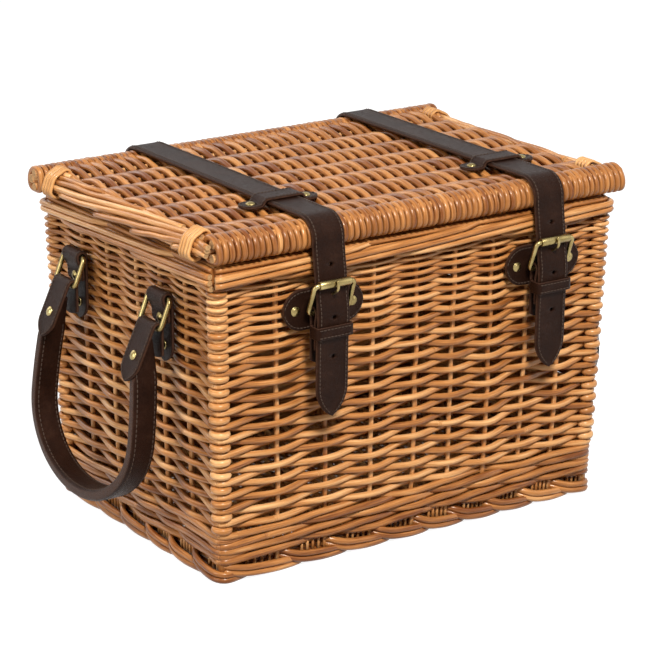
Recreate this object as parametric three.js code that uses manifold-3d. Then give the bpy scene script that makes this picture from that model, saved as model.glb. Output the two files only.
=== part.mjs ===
// A willow picnic hamper: woven body, hinged lid, buckled leather straps and a leather handle at each end.
// Millimetres, +Z up, the front towards -Y and the left end towards -X.
import * as THREE from "three";
import { mergeVertices } from "three/addons/utils/BufferGeometryUtils.js";
import Module from "manifold-3d";

const wasm = await Module();
wasm.setup();

// Fit between pieces
const GAP = 0.3;

// Woven body, measured at the middle of its walls
const BODY_WIDTH = 364; // between the end walls, at the floor
const BODY_DEPTH = 246; // between the front and back walls, at the floor
const WALL_LEAN = 0.029; // outward run of a wall for each unit of height
const WALL_THICK = 12;
const WEAVE_DEPTH = 2.2; // how far a weaver stands in or out at a stake, so its two faces never meet
const WEAVER_PITCH = 6; // from one weaver to the next up a wall
const CROWDED_PITCH = 2.7; // the same at the rim, where the weavers are thin
const CROWDED_HEIGHT = 150; // where they begin to crowd
const HIDDEN_WEAVER_SHARE = 2; // weavers drawn as one on the back and right walls
const FRONT_STAKE_COUNT = 8;
const END_STAKE_COUNT = 5;
const POST_RADIUS = 9;
const FOOT_HEIGHT = 22;
const FOOT_INSET = 8; // foot border inside the middle of the wall
const FOOT_OUTSET = 8; // foot border outside the middle of the wall
const BASE_LIFT = 8; // underside of the base panel above the floor
const BASE_THICK = 10;
const BASE_CORNER = 2;
const RIM_BOTTOM = 250;
const RIM_HEIGHT = 16;
const RIM_INSET = 8;
const RIM_OUTSET = 12;
const RIM_ROD_COUNT = 3; // rods that show on the rim's outer face
const RIM_GROOVE = 2; // depth of the grooves between them

// Lid
const LID_END_OVERHANG = 5.75; // beyond the rim at each end
const LID_SIDE_OVERHANG = 2.25; // beyond the rim at the front and back
const LID_BACK_SHIFT = 1; // middle of the lid behind the middle of the body
const LID_CLEARANCE = 1.5; // between the rim and the lid
const RAIL_HEIGHT = 23.5;
const RAIL_DEPTH = 24;
const RAIL_ROUND = 8;
const RAIL_SHOULDER = 15; // round of a rail's outer upper corner, which the straps lie over
const PANEL_THICK = 15;
const PANEL_DROP = 1.7; // top of the panel below the top of the rails
const LID_WEAVER_COUNT = 69;
const LID_STICK_COUNT = 7; // sticks from end to end that the lid's weavers cross
const LID_WEAVE_DEPTH = 2.4;
const EDGE_ROD_COUNT = 4; // willow rods in a side edge of the lid
const EDGE_ROD_RADIUS = 3.4;
const EDGE_INSET = 16.5; // middle of the innermost rod from the lid's side
const EDGE_RUN = 10; // from the innermost rod to the outermost one
const EDGE_FALL = 11; // how far the outermost rod lies below the innermost one
const BINDING_RADIUS = 1.7; // split willow wound round an edge
const BINDING_PITCH = 4;
const BINDING_TURN_COUNT = 3;
const BINDING_STEPS = 18; // straight pieces in one turn

// Leather straps and their buckles
const STRAP_SHARES = { left: -0.264, right: 0.335 }; // place on the front, as a share of its width
const STRAP_WIDTH = 30;
const STRAP_THICK = 3.2;
const STRAP_BOW = 4; // how far the strap stands out behind the roller
const STRAP_END_RISE = 5; // where the lid's strap becomes the loose tail, above the lid's underside
const STRAP_LOOP_INSET = 69.5; // leather loop that holds the strap down, from the lid's front
const LOOP_LENGTH = 72;
const LOOP_WAIST = 26;
const LOOP_END_RADIUS = 10;
const LOOP_THICK = 2.4;
const LOOP_RIVET_SPAN = 52;
const LOOP_SHOULDER = 5; // run of the loop from the panel up to the strap
const HEEL_DROP = 32; // buckle's heel bar below the rim
const BUCKLE_LENGTH = 24.5; // heel bar to roller, along the strap
const BUCKLE_INSIDE = 33.4;
const BUCKLE_WIRE_RADIUS = 2;
const BUCKLE_CORNER = 3.4;
const ROLLER_RADIUS = 3.4;
const ROLLER_LENGTH = 29;
const PRONG_RADIUS = 1.4;
const PRONG_EYE_RADIUS = 4;
const PRONG_EYE_WIDTH = 4.4;
const TAIL_LENGTH = 86; // heel bar to the tail's tip
const TAIL_POINT = 22; // length of the tail's pointed end
const TAIL_LEAN = 1; // how far the tip hangs in towards the wall
const PRONG_HOLE_WIDTH = 4.6;
const PRONG_HOLE_LENGTH = 9;
const PRONG_HOLE_RISE = 14.5; // above the heel bar
const PRONG_BEND = 4; // the prong turns outwards this far below its hole
const STRAP_HOLE_RADIUS = 1.7;
const STRAP_HOLE_RISES = [38.5, -3.5, -36]; // from the heel bar
const CHAPE_THICK = 3.2;
const CHAPE_INSET = 0.5; // chape narrower than the strap at each edge
const CHAPE_DROP = 44; // heel bar to the chape's lower end
const CHAPE_FRONT_DROP = 30; // heel bar to the end of the chape's front layer
const CHAPE_EASE = 4; // reach of the curve from the fold to the front layer
const PLATE_THICK = 3.4;
const PLATE_LENGTH = 75;
const PLATE_HEIGHT = 34;
const PLATE_RISE = 2; // middle of the backing plate above the heel bar
const PLATE_RIVET_SPAN = 54;
const KEEPER_THICK = 2.2;
const KEEPER_WIDTH = 10;
const KEEPER_DROP = 20; // heel bar to the keeper's lower edge
const ANCHOR_LENGTH = 72; // strap down the back wall, below the lid hinge
const ANCHOR_POINT = 14;
const ANCHOR_RIVET_RISES = [14, 31]; // above the tip
const ANCHOR_STEP = 20; // run of the strap from the rim in to the wall

// End handles
const HANDLE_SHARE = 0.561; // between the two tabs of a handle, as a share of the body's depth
const HANDLE_SHIFT = 6; // middle of a handle behind the middle of the body
const TAB_WIDTH = 26;
const TAB_THICK = 2.8;
const TAB_LENGTH = 55; // ring bar to the tab's tip
const TAB_POINT = 13;
const TAB_FLAP = 23; // ring bar to the end of the tab's outer flap
const TAB_EASE = 5; // reach of the curve from the fold to the flap
const RING_DROP = 23; // tab's ring bar below the rim
const RING_LENGTH = 25; // between the ring's two bars
const RING_INSIDE = 28.4;
const RING_WIRE_RADIUS = 2.1;
const RING_CORNER = 4;
const RING_TILT = 22; // degrees, outward from hanging straight down
const RING_SLACK = 0.5; // leather loop round a ring bar
const GRIP_WIDTH = 22;
const GRIP_THICK = 9;
const GRIP_REACH = 22; // grip's outer edge beyond the ring's lower bar, at the tongue's tip
const GRIP_TILT = 6.5; // degrees, the grip's lower end outward
const GRIP_SPREAD = 11; // how far a leg swells beyond its ring
const GRIP_LENGTH = 153.8; // ring's lower bar to the middle of the grip's lowest point
const GRIP_BEND_RISE = 62; // where the legs turn into the bend, above that point
const TONGUE_WIDTH = 26;
const TONGUE_THICK = 2.6;
const TONGUE_LENGTH = 41.8; // ring's lower bar to the tongue's tip
const TONGUE_POINT = 13;
const TONGUE_BACK = 26; // inner layer of the tongue below the ring bar

// Rivets
const RIVET_RADIUS = 4.2;
const RIVET_HEIGHT = 2;
const RIVET_SEAT = 1; // depth sunk in the leather

// Finishes
const WILLOW = new THREE.MeshStandardMaterial({ color: 0xbd8145, roughness: 0.55, metalness: 0 });
const PALE_WILLOW = new THREE.MeshStandardMaterial({ color: 0xd6a665, roughness: 0.55, metalness: 0 });
const LEATHER = new THREE.MeshStandardMaterial({ color: 0x38241f, roughness: 0.5, metalness: 0 });
const BRASS = new THREE.MeshStandardMaterial({ color: 0x9b8648, roughness: 0.35, metalness: 1 });

// Places that several pieces share
const RIM_TOP = RIM_BOTTOM + RIM_HEIGHT;
const LID_BOTTOM = RIM_TOP + LID_CLEARANCE;
const LID_TOP = LID_BOTTOM + RAIL_HEIGHT;
const PANEL_TOP = LID_TOP - PANEL_DROP;
const halfWidth = (z) => BODY_WIDTH / 2 + WALL_LEAN * z;
const halfDepth = (z) => BODY_DEPTH / 2 + WALL_LEAN * z;
const endFace = (z) => halfWidth(z) + WALL_THICK / 2;
const sideFace = (z) => halfDepth(z) + WALL_THICK / 2;

const LID_HALF_WIDTH = halfWidth(RIM_BOTTOM) + RIM_OUTSET + LID_END_OVERHANG;
const LID_HALF_DEPTH = halfDepth(RIM_BOTTOM) + RIM_OUTSET + LID_SIDE_OVERHANG;
const LID_FRONT = LID_BACK_SHIFT - LID_HALF_DEPTH;
const LID_REAR = LID_BACK_SHIFT + LID_HALF_DEPTH;
const STRAP_FRONT_Y = LID_FRONT - GAP - STRAP_THICK / 2;
const STRAP_REAR_Y = LID_REAR + GAP + STRAP_THICK / 2;
const STRAP_END_HEIGHT = LID_BOTTOM + STRAP_END_RISE;
const STRAP_ROLLER_Y = STRAP_FRONT_Y - STRAP_BOW;
const HEEL_HEIGHT = RIM_BOTTOM - HEEL_DROP;
const ROLLER_HEIGHT = HEEL_HEIGHT + BUCKLE_LENGTH;
const TAIL_TIP_HEIGHT = HEEL_HEIGHT - TAIL_LENGTH;
const HANDLE_SPACING = BODY_DEPTH * HANDLE_SHARE;
const RING_HEIGHT = RIM_BOTTOM - RING_DROP;
const TAB_TIP_HEIGHT = RING_HEIGHT - TAB_LENGTH;

const part = new THREE.Group();

// Building blocks

function solid(geometry) {
  const bare = geometry.index ? geometry.toNonIndexed() : geometry.clone();
  bare.deleteAttribute("normal");
  bare.deleteAttribute("uv");
  const merged = mergeVertices(bare, 1e-4);
  const mesh = new wasm.Mesh({
    numProp: 3,
    vertProperties: merged.attributes.position.array,
    triVerts: new Uint32Array(merged.index.array),
  });
  return new wasm.Manifold(mesh);
}

function geometryOf(body) {
  const mesh = body.getMesh();
  const geometry = new THREE.BufferGeometry();
  geometry.setAttribute("position", new THREE.BufferAttribute(mesh.vertProperties, 3));
  geometry.setIndex(new THREE.BufferAttribute(mesh.triVerts, 1));
  return geometry;
}

function addPiece(name, shape, material, group = part) {
  const geometry = shape.isBufferGeometry ? shape : geometryOf(shape);
  const piece = new THREE.Mesh(geometry, material);
  piece.name = name;
  group.add(piece);
  return piece;
}

// Sections placed at stations, joined into one closed body. Each station turns a section point into space.
// The sections turn anticlockwise seen against the direction of travel.
function loft(section, stations, closed = false) {
  const count = section.length;
  const positions = stations.flatMap((place) => section.flatMap((point) => place(point).toArray()));
  const index = [];
  const spans = closed ? stations.length : stations.length - 1;
  for (let ring = 0; ring < spans; ring++) {
    const next = (ring + 1) % stations.length;
    for (let side = 0; side < count; side++) {
      const after = (side + 1) % count;
      const a = ring * count + side;
      const b = ring * count + after;
      const c = next * count + after;
      const d = next * count + side;
      index.push(a, b, c, a, c, d);
    }
  }
  if (!closed) {
    const last = (stations.length - 1) * count;
    for (const [a, b, c] of THREE.ShapeUtils.triangulateShape(section, [])) {
      index.push(a, c, b);
      index.push(last + a, last + b, last + c);
    }
  }
  const geometry = new THREE.BufferGeometry();
  geometry.setAttribute("position", new THREE.Float32BufferAttribute(positions, 3));
  geometry.setIndex(index);
  return geometry;
}

// A closed sheet with two faces on a grid: `place` gives the point at a column and a row of either face.
function sheet(columns, rows, place) {
  const positions = [];
  for (const face of [0, 1]) {
    for (let i = 0; i <= columns; i++) {
      for (let j = 0; j <= rows; j++) {
        positions.push(...place(i, j, face).toArray());
      }
    }
  }
  const at = (face, i, j) => (face * (columns + 1) + i) * (rows + 1) + j;
  const index = [];
  const quad = (a, b, c, d) => index.push(a, b, c, a, c, d);
  for (let i = 0; i < columns; i++) {
    for (let j = 0; j < rows; j++) {
      for (const face of [0, 1]) {
        // A square is split between its lower corners, so that each crest stands alone.
        const square = [at(face, i, j), at(face, i + 1, j), at(face, i + 1, j + 1), at(face, i, j + 1)];
        if ((i + j) % 2) square.push(square.shift());
        quad(...(face ? square.reverse() : square));
      }
    }
    quad(at(0, i, 0), at(1, i, 0), at(1, i + 1, 0), at(0, i + 1, 0));
    quad(at(0, i, rows), at(0, i + 1, rows), at(1, i + 1, rows), at(1, i, rows));
  }
  for (let j = 0; j < rows; j++) {
    quad(at(0, 0, j), at(0, 0, j + 1), at(1, 0, j + 1), at(1, 0, j));
    quad(at(0, columns, j), at(1, columns, j), at(1, columns, j + 1), at(0, columns, j + 1));
  }
  const geometry = new THREE.BufferGeometry();
  geometry.setAttribute("position", new THREE.Float32BufferAttribute(positions, 3));
  geometry.setIndex(index);
  return geometry;
}

// Plain weave, over one and under one, and level at the outer stakes.
function overUnder(weaver, stake, lastStake) {
  if (stake === 0 || stake === lastStake) return 0;
  return (weaver + stake) % 2 ? 1 : -1;
}

function circle(radius, sides) {
  return Array.from({ length: sides }, (_, i) => {
    const turn = (2 * Math.PI * (i + 0.5)) / sides;
    return new THREE.Vector2(radius * Math.cos(turn), radius * Math.sin(turn));
  });
}

function roundedRectangle(left, bottom, right, top, radius, topLeft = radius, topRight = radius) {
  const shape = new THREE.Shape();
  shape.absarc(right - radius, bottom + radius, radius, -Math.PI / 2, 0);
  shape.absarc(right - topRight, top - topRight, topRight, 0, Math.PI / 2);
  shape.absarc(left + topLeft, top - topLeft, topLeft, Math.PI / 2, Math.PI);
  shape.absarc(left + radius, bottom + radius, radius, Math.PI, 1.5 * Math.PI);
  return shape;
}

// Extrusions of a drawn shape along each axis, from the first place given to the second.
const ACROSS_X = new THREE.Matrix4().makeBasis(
  new THREE.Vector3(0, 1, 0),
  new THREE.Vector3(0, 0, 1),
  new THREE.Vector3(1, 0, 0),
);
const ACROSS_Y = new THREE.Matrix4().makeBasis(
  new THREE.Vector3(1, 0, 0),
  new THREE.Vector3(0, 0, 1),
  new THREE.Vector3(0, -1, 0),
);

function extrude(shape, depth, curveSegments) {
  return new THREE.ExtrudeGeometry(shape, { depth, curveSegments, steps: 1, bevelEnabled: false });
}

function alongX(shape, from, to, curveSegments = 3) {
  return extrude(shape, to - from, curveSegments).applyMatrix4(ACROSS_X).translate(from, 0, 0);
}

function alongY(shape, from, to, curveSegments = 3) {
  return extrude(shape, to - from, curveSegments).applyMatrix4(ACROSS_Y).translate(0, to, 0);
}

function alongZ(shape, from, to, curveSegments = 3) {
  return extrude(shape, to - from, curveSegments).translate(0, 0, from);
}

// A strip of even thickness drawn along a flat path, with its first end square or round.
function ribbon(path, thickness, divisions, roundStart = false) {
  const apart = (p, i, all) => i === 0 || p.distanceTo(all[i - 1]) > 1e-3;
  const points = path.getPoints(divisions).filter(apart);
  const offset = (side) =>
    points.map((p, i) => {
      const before = points[Math.max(i - 1, 0)];
      const after = points[Math.min(i + 1, points.length - 1)];
      const along = after.clone().sub(before).normalize();
      return new THREE.Vector2(p.x - along.y * side, p.y + along.x * side);
    });
  const left = offset(thickness / 2);
  const right = offset(-thickness / 2).reverse();
  const cap = [];
  if (roundStart) {
    const back = points[0].clone().sub(points[1]).setLength(thickness / 2);
    for (const turn of [Math.PI / 4, 0, -Math.PI / 4]) {
      cap.push(back.clone().rotateAround(new THREE.Vector2(), turn).add(points[0]));
    }
  }
  return new THREE.Shape([...left, ...right, ...cap]);
}

// A round wire bent into a rectangle with round corners. The loop lies in the plane of the two given
// directions, with its first bar through the origin and its second one at the far end of `down`.
function wireLoop(across, down, halfSpan, length, corner, wire) {
  const normal = new THREE.Vector3().crossVectors(across, down);
  const stations = [];
  const corners = [
    [1, 0, -Math.PI / 2],
    [1, 1, 0],
    [-1, 1, Math.PI / 2],
    [-1, 0, Math.PI],
  ];
  for (const [side, end, start] of corners) {
    const u = side * (halfSpan - corner);
    const v = end ? length - corner : corner;
    for (let i = 0; i <= 2; i++) {
      const turn = start + (i * Math.PI) / 4;
      const out = across.clone().multiplyScalar(Math.cos(turn)).addScaledVector(down, Math.sin(turn));
      const centre = across.clone().multiplyScalar(u).addScaledVector(down, v).addScaledVector(out, corner);
      stations.push((p) => centre.clone().addScaledVector(out, p.x).addScaledVector(normal, -p.y));
    }
  }
  return loft(circle(wire, 8), stations, true);
}

function rivet(place, direction) {
  const profile = [
    [0, -RIVET_SEAT],
    [RIVET_RADIUS, -RIVET_SEAT],
    [RIVET_RADIUS, RIVET_HEIGHT * 0.3],
    [RIVET_RADIUS * 0.7, RIVET_HEIGHT * 0.8],
    [0, RIVET_HEIGHT],
  ].map(([x, y]) => new THREE.Vector2(x, y));
  const turn = new THREE.Quaternion().setFromUnitVectors(new THREE.Vector3(0, 1, 0), direction);
  return solid(new THREE.LatheGeometry(profile, 10).applyQuaternion(turn).translate(...place.toArray()));
}

// A hollow round sleeve along X.
function sleeve(radius, bore, length) {
  const half = length / 2;
  const profile = [
    [bore, -half],
    [radius, -half],
    [radius, half],
    [bore, half],
    [bore, -half],
  ].map(([x, y]) => new THREE.Vector2(x, y));
  return new THREE.LatheGeometry(profile, 12).rotateZ(Math.PI / 2);
}

// A strip's outline with a pointed lower end, seen square on.
function pointedOutline(width, top, tip, point) {
  const half = width / 2;
  const shape = new THREE.Shape();
  shape.moveTo(half, top);
  shape.lineTo(-half, top);
  shape.lineTo(-half, tip + point);
  shape.quadraticCurveTo(-half * 0.85, tip + point * 0.35, 0, tip);
  shape.quadraticCurveTo(half * 0.85, tip + point * 0.35, half, tip + point);
  return shape;
}

// Woven body

// A border round the basket, mitred at its corners. The section is drawn outwards from the wall's middle.
function border(section, height) {
  const corners = [
    [1, 1],
    [1, -1],
    [-1, -1],
    [-1, 1],
  ];
  const stations = corners.map(([sx, sy]) => (p) => {
    const x = sx * (halfWidth(height) + p.x);
    const y = sy * (halfDepth(height) + p.x);
    return new THREE.Vector3(x, y, height + p.y);
  });
  return loft(section, stations, true);
}

function footSection() {
  const low = FOOT_OUTSET * 0.7;
  return [
    [-FOOT_INSET, 0],
    [low, 0],
    [FOOT_OUTSET, FOOT_HEIGHT * 0.25],
    [FOOT_OUTSET, FOOT_HEIGHT * 0.7],
    [low, FOOT_HEIGHT],
    [-FOOT_INSET, FOOT_HEIGHT],
  ].map(([x, y]) => new THREE.Vector2(x, y));
}

function rimSection() {
  const pitch = RIM_HEIGHT / RIM_ROD_COUNT;
  const groove = RIM_OUTSET - RIM_GROOVE;
  const outside = [];
  for (let i = 0; i < RIM_ROD_COUNT; i++) {
    outside.push([groove, i * pitch], [RIM_OUTSET, (i + 0.5) * pitch]);
  }
  const outline = [[-RIM_INSET, 0], ...outside, [groove, RIM_HEIGHT], [-RIM_INSET, RIM_HEIGHT]];
  return outline.map(([x, y]) => new THREE.Vector2(x, y));
}

// Heights of the weavers from the foot to the rim: even at first, then closer and closer.
function weaverHeights(share) {
  const low = FOOT_HEIGHT + GAP;
  const high = RIM_BOTTOM - GAP;
  const heights = [low];
  while (heights.at(-1) < high) {
    const z = heights.at(-1);
    const crowding = Math.max(0, (z - CROWDED_HEIGHT) / (high - CROWDED_HEIGHT));
    heights.push(z + share * THREE.MathUtils.lerp(WEAVER_PITCH, CROWDED_PITCH, crowding));
  }
  const fit = (high - low) / (heights.at(-1) - low);
  return heights.map((z) => low + (z - low) * fit);
}

// A woven wall between two posts: `reach` gives its half length and `face` its distance from the middle.
function wall(reach, face, stakes, turn, share = 1) {
  const heights = weaverHeights(share);
  const columns = stakes + 1;
  const rows = heights.length - 1;
  const skin = WALL_THICK / 2 - WEAVE_DEPTH;
  const woven = sheet(columns, rows, (i, j, side) => {
    const z = heights[j];
    const along = (reach(z) - POST_RADIUS - GAP) * ((2 * i) / columns - 1);
    const bulge = WEAVE_DEPTH * overUnder(j, i, columns);
    return new THREE.Vector3(face(z) + bulge + (side ? -skin : skin), along, z);
  });
  return woven.rotateZ(turn);
}

function post(sx, sy) {
  const stations = [FOOT_HEIGHT + GAP, RIM_BOTTOM - GAP].map((z) => (p) => {
    return new THREE.Vector3(sx * halfWidth(z) + p.x, sy * halfDepth(z) + p.y, z);
  });
  return loft(circle(POST_RADIUS, 12), stations);
}

function body() {
  const inset = FOOT_INSET + GAP;
  const baseX = halfWidth(0) - inset;
  const baseY = halfDepth(0) - inset;
  const base = roundedRectangle(-baseX, -baseY, baseX, baseY, BASE_CORNER);
  addPiece("base_panel", alongZ(base, BASE_LIFT, BASE_LIFT + BASE_THICK), WILLOW);
  addPiece("foot_border", border(footSection(), 0), WILLOW);
  const hidden = HIDDEN_WEAVER_SHARE;
  addPiece("front_wall", wall(halfWidth, halfDepth, FRONT_STAKE_COUNT, -Math.PI / 2), WILLOW);
  addPiece("back_wall", wall(halfWidth, halfDepth, FRONT_STAKE_COUNT, Math.PI / 2, hidden), WILLOW);
  addPiece("left_wall", wall(halfDepth, halfWidth, END_STAKE_COUNT, Math.PI), WILLOW);
  addPiece("right_wall", wall(halfDepth, halfWidth, END_STAKE_COUNT, 0, hidden), WILLOW);
  for (const [side, sx] of [["left", -1], ["right", 1]]) {
    addPiece(`front_${side}_post`, post(sx, -1), WILLOW);
    addPiece(`back_${side}_post`, post(sx, 1), WILLOW);
  }
  addPiece("rim_border", border(rimSection(), RIM_BOTTOM), WILLOW);
}

// Lid

// Rods laid side by side, seen end on, from the innermost rod to the outermost one.
function rodRow(from, to, rods, radius) {
  const along = to.clone().sub(from);
  const angle = along.angle();
  const pitch = along.length() / (rods - 1);
  const valley = Math.acos(pitch / 2 / radius) + 0.05;
  const shape = new THREE.Shape();
  for (const [first, step, start] of [[0, 1, angle + Math.PI], [rods - 1, -1, angle]]) {
    for (let i = 0; i < rods; i++) {
      const centre = from.clone().addScaledVector(along, (first + step * i) / (rods - 1));
      const begin = i === 0 ? start : start + valley;
      const end = i === rods - 1 ? start + Math.PI : start + Math.PI - valley;
      shape.absarc(centre.x, centre.y, radius, begin, end);
    }
  }
  return shape;
}

function stadium(from, to, radius) {
  const angle = to.clone().sub(from).angle();
  const shape = new THREE.Shape();
  shape.absarc(from.x, from.y, radius, angle + Math.PI / 2, angle + 1.5 * Math.PI);
  shape.absarc(to.x, to.y, radius, angle - Math.PI / 2, angle + Math.PI / 2);
  return shape;
}

// Split willow wound round the rods between two places, seen end on, and stepping along Y.
function winding(from, to, radius, start) {
  const along = to.clone().sub(from);
  const straight = along.length();
  const bend = Math.PI * radius;
  const steps = BINDING_STEPS;
  const turnAngle = along.angle() - Math.PI / 2;
  const centres = [];
  const stations = [];
  for (let i = 0; i <= BINDING_TURN_COUNT * steps; i++) {
    const run = ((i % steps) / steps) * 2 * (straight + bend);
    const second = run >= straight + bend;
    const local = second ? run - straight - bend : run;
    const turned = Math.max(0, (local - straight) / radius);
    const facing = turnAngle + turned + (second ? Math.PI : 0);
    const out = new THREE.Vector2(Math.cos(facing), Math.sin(facing));
    const share = Math.min(local / straight, 1);
    const place = from.clone().addScaledVector(along, second ? 1 - share : share);
    const middle = place.addScaledVector(out, radius);
    const y = start + BINDING_RADIUS + (i / steps) * BINDING_PITCH;
    const centre = new THREE.Vector3(middle.x, y, middle.y);
    const outward = new THREE.Vector3(out.x, 0, out.y);
    centres.push(centre);
    stations.push((p) => centre.clone().addScaledVector(outward, p.x).add(new THREE.Vector3(0, p.y, 0)));
  }
  let least = Infinity;
  for (let i = 0; i < centres.length; i++) {
    for (let j = i + steps / 2; j < centres.length; j++) {
      least = Math.min(least, centres[i].distanceTo(centres[j]) - 2 * BINDING_RADIUS);
    }
  }
  console.log(`least gap between the turns of a binding: ${least.toFixed(2)} mm`);
  return loft(circle(BINDING_RADIUS, 6), stations);
}

function lid() {
  const railFront = LID_FRONT + RAIL_DEPTH;
  const railRear = LID_REAR - RAIL_DEPTH;
  const [round, shoulder] = [RAIL_ROUND, RAIL_SHOULDER];
  const front = roundedRectangle(LID_FRONT, LID_BOTTOM, railFront, LID_TOP, round, shoulder);
  const rear = roundedRectangle(railRear, LID_BOTTOM, LID_REAR, LID_TOP, round, round, shoulder);
  addPiece("lid_front_rail", alongX(front, -LID_HALF_WIDTH, LID_HALF_WIDTH), WILLOW);
  addPiece("lid_rear_rail", alongX(rear, -LID_HALF_WIDTH, LID_HALF_WIDTH), WILLOW);

  const low = railFront + GAP;
  const high = railRear - GAP;
  const inner = new THREE.Vector2(LID_HALF_WIDTH - EDGE_INSET, PANEL_TOP - EDGE_ROD_RADIUS - GAP);
  const outer = new THREE.Vector2(inner.x + EDGE_RUN, inner.y - EDGE_FALL);
  const edge = rodRow(inner, outer, EDGE_ROD_COUNT, EDGE_ROD_RADIUS);
  const windingRadius = EDGE_ROD_RADIUS + GAP + BINDING_RADIUS;
  const windingWidth = BINDING_TURN_COUNT * BINDING_PITCH + 2 * BINDING_RADIUS;
  for (const [side, sx] of [["left", -1], ["right", 1]]) {
    const group = new THREE.Group();
    group.scale.x = sx;
    part.add(group);
    addPiece(`lid_${side}_edge`, alongY(edge, low, high), WILLOW, group);
    const frontBinding = winding(inner, outer, windingRadius, low);
    const rearBinding = winding(inner, outer, windingRadius, high - windingWidth);
    addPiece(`lid_front_${side}_binding`, frontBinding, PALE_WILLOW, group);
    addPiece(`lid_rear_${side}_binding`, rearBinding, PALE_WILLOW, group);
  }

  // The woven panel reaches the edge rods, and is drawn in beside the bindings.
  const wide = inner.x - EDGE_ROD_RADIUS - GAP;
  const narrow = inner.x - windingRadius - BINDING_RADIUS - GAP;
  const cut = windingWidth + GAP;
  const rows = LID_STICK_COUNT + 1;
  const columns = LID_WEAVER_COUNT - 1;
  const middle = PANEL_TOP - PANEL_THICK / 2;
  const skin = PANEL_THICK / 2 - LID_WEAVE_DEPTH;
  const panel = sheet(columns, rows, (i, j, side) => {
    const share = (j - 1) / (rows - 2);
    const y = j === 0 ? low : j === rows ? high : low + cut + (high - low - 2 * cut) * share;
    const half = j < 2 || j > rows - 2 ? narrow : wide;
    const bulge = LID_WEAVE_DEPTH * overUnder(i, j, rows);
    const z = middle + bulge + (side ? -skin : skin);
    return new THREE.Vector3(half * ((2 * i) / columns - 1), y, z);
  });
  addPiece("lid_panel", panel, WILLOW);
}

// Straps

// The strap over the lid. Its rear end is the leather hinge: round about the lid's axis.
function lidStrap() {
  const bend = RAIL_SHOULDER + GAP + STRAP_THICK / 2;
  const top = LID_TOP + GAP + STRAP_THICK / 2;
  const path = new THREE.Path();
  path.moveTo(STRAP_REAR_Y, LID_BOTTOM);
  path.lineTo(STRAP_REAR_Y, top - bend);
  path.absarc(STRAP_REAR_Y - bend, top - bend, bend, 0, Math.PI / 2);
  path.absarc(STRAP_FRONT_Y + bend, top - bend, bend, Math.PI / 2, Math.PI);
  path.lineTo(STRAP_FRONT_Y, STRAP_END_HEIGHT + STRAP_THICK / 2 + GAP);
  return alongX(ribbon(path, STRAP_THICK, 4, true), -STRAP_WIDTH / 2, STRAP_WIDTH / 2);
}

// The leather loop that holds a strap to the lid: wide in the middle, with a round riveted end each side.
function strapLoop() {
  const rest = PANEL_TOP + GAP + LOOP_THICK / 2;
  const arch = LID_TOP + 2 * GAP + STRAP_THICK + LOOP_THICK / 2;
  const clear = STRAP_WIDTH / 2 + GAP + LOOP_THICK / 2;
  const end = LOOP_LENGTH / 2;
  const path = new THREE.Path();
  path.moveTo(-end, rest);
  const foot = clear + LOOP_SHOULDER;
  const knee = clear + LOOP_SHOULDER / 2;
  path.lineTo(-foot, rest);
  path.bezierCurveTo(-knee, rest, -knee, arch, 1 - clear, arch);
  path.lineTo(clear - 1, arch);
  path.bezierCurveTo(knee, arch, knee, rest, foot, rest);
  path.lineTo(end, rest);
  const strip = solid(alongY(ribbon(path, LOOP_THICK, 4), -LOOP_WAIST, LOOP_WAIST));
  const middle = end - LOOP_END_RADIUS;
  const outline = new THREE.Shape();
  outline.absarc(middle, 0, LOOP_END_RADIUS, -Math.PI * 0.4, Math.PI * 0.4);
  outline.quadraticCurveTo(clear, LOOP_WAIST / 2, 0, LOOP_WAIST / 2);
  outline.quadraticCurveTo(-clear, LOOP_WAIST / 2, -middle - LOOP_END_RADIUS * 0.3, LOOP_END_RADIUS * 0.95);
  outline.absarc(-middle, 0, LOOP_END_RADIUS, Math.PI * 0.6, Math.PI * 1.4);
  outline.quadraticCurveTo(-clear, -LOOP_WAIST / 2, 0, -LOOP_WAIST / 2);
  outline.quadraticCurveTo(clear, -LOOP_WAIST / 2, middle + LOOP_END_RADIUS * 0.3, -LOOP_END_RADIUS * 0.95);
  let loop = strip.intersect(solid(alongZ(outline, PANEL_TOP, arch + LOOP_THICK)));
  for (const side of [-1, 1]) {
    const place = new THREE.Vector3((side * LOOP_RIVET_SPAN) / 2, 0, rest + LOOP_THICK / 2);
    loop = loop.add(rivet(place, new THREE.Vector3(0, 0, 1)));
  }
  return loop;
}

// Places of the layers at a buckle, from the wall outwards
const PLATE_TOP = HEEL_HEIGHT + PLATE_RISE + PLATE_HEIGHT / 2;
const PLATE_BACK = -sideFace(PLATE_TOP) - GAP;
const CHAPE_BACK_Y = PLATE_BACK - PLATE_THICK - GAP - CHAPE_THICK / 2;
const FOLD_RADIUS = BUCKLE_WIRE_RADIUS + GAP + CHAPE_THICK / 2;
const HEEL_Y = CHAPE_BACK_Y - FOLD_RADIUS;
const TAIL_HEEL_Y = HEEL_Y - FOLD_RADIUS - CHAPE_THICK / 2 - GAP - STRAP_THICK / 2;
const ROLLER_Y = STRAP_ROLLER_Y - STRAP_THICK / 2 - GAP - ROLLER_RADIUS;
const CHAPE_FRONT_Y = CHAPE_BACK_Y - CHAPE_THICK - KEEPER_THICK - 2 * GAP;
const TAIL_LOW_Y = CHAPE_FRONT_Y - CHAPE_THICK / 2 - GAP - STRAP_THICK / 2;
const KEEPER_FRONT_Y = TAIL_HEEL_Y - STRAP_THICK / 2 - GAP;

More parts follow.
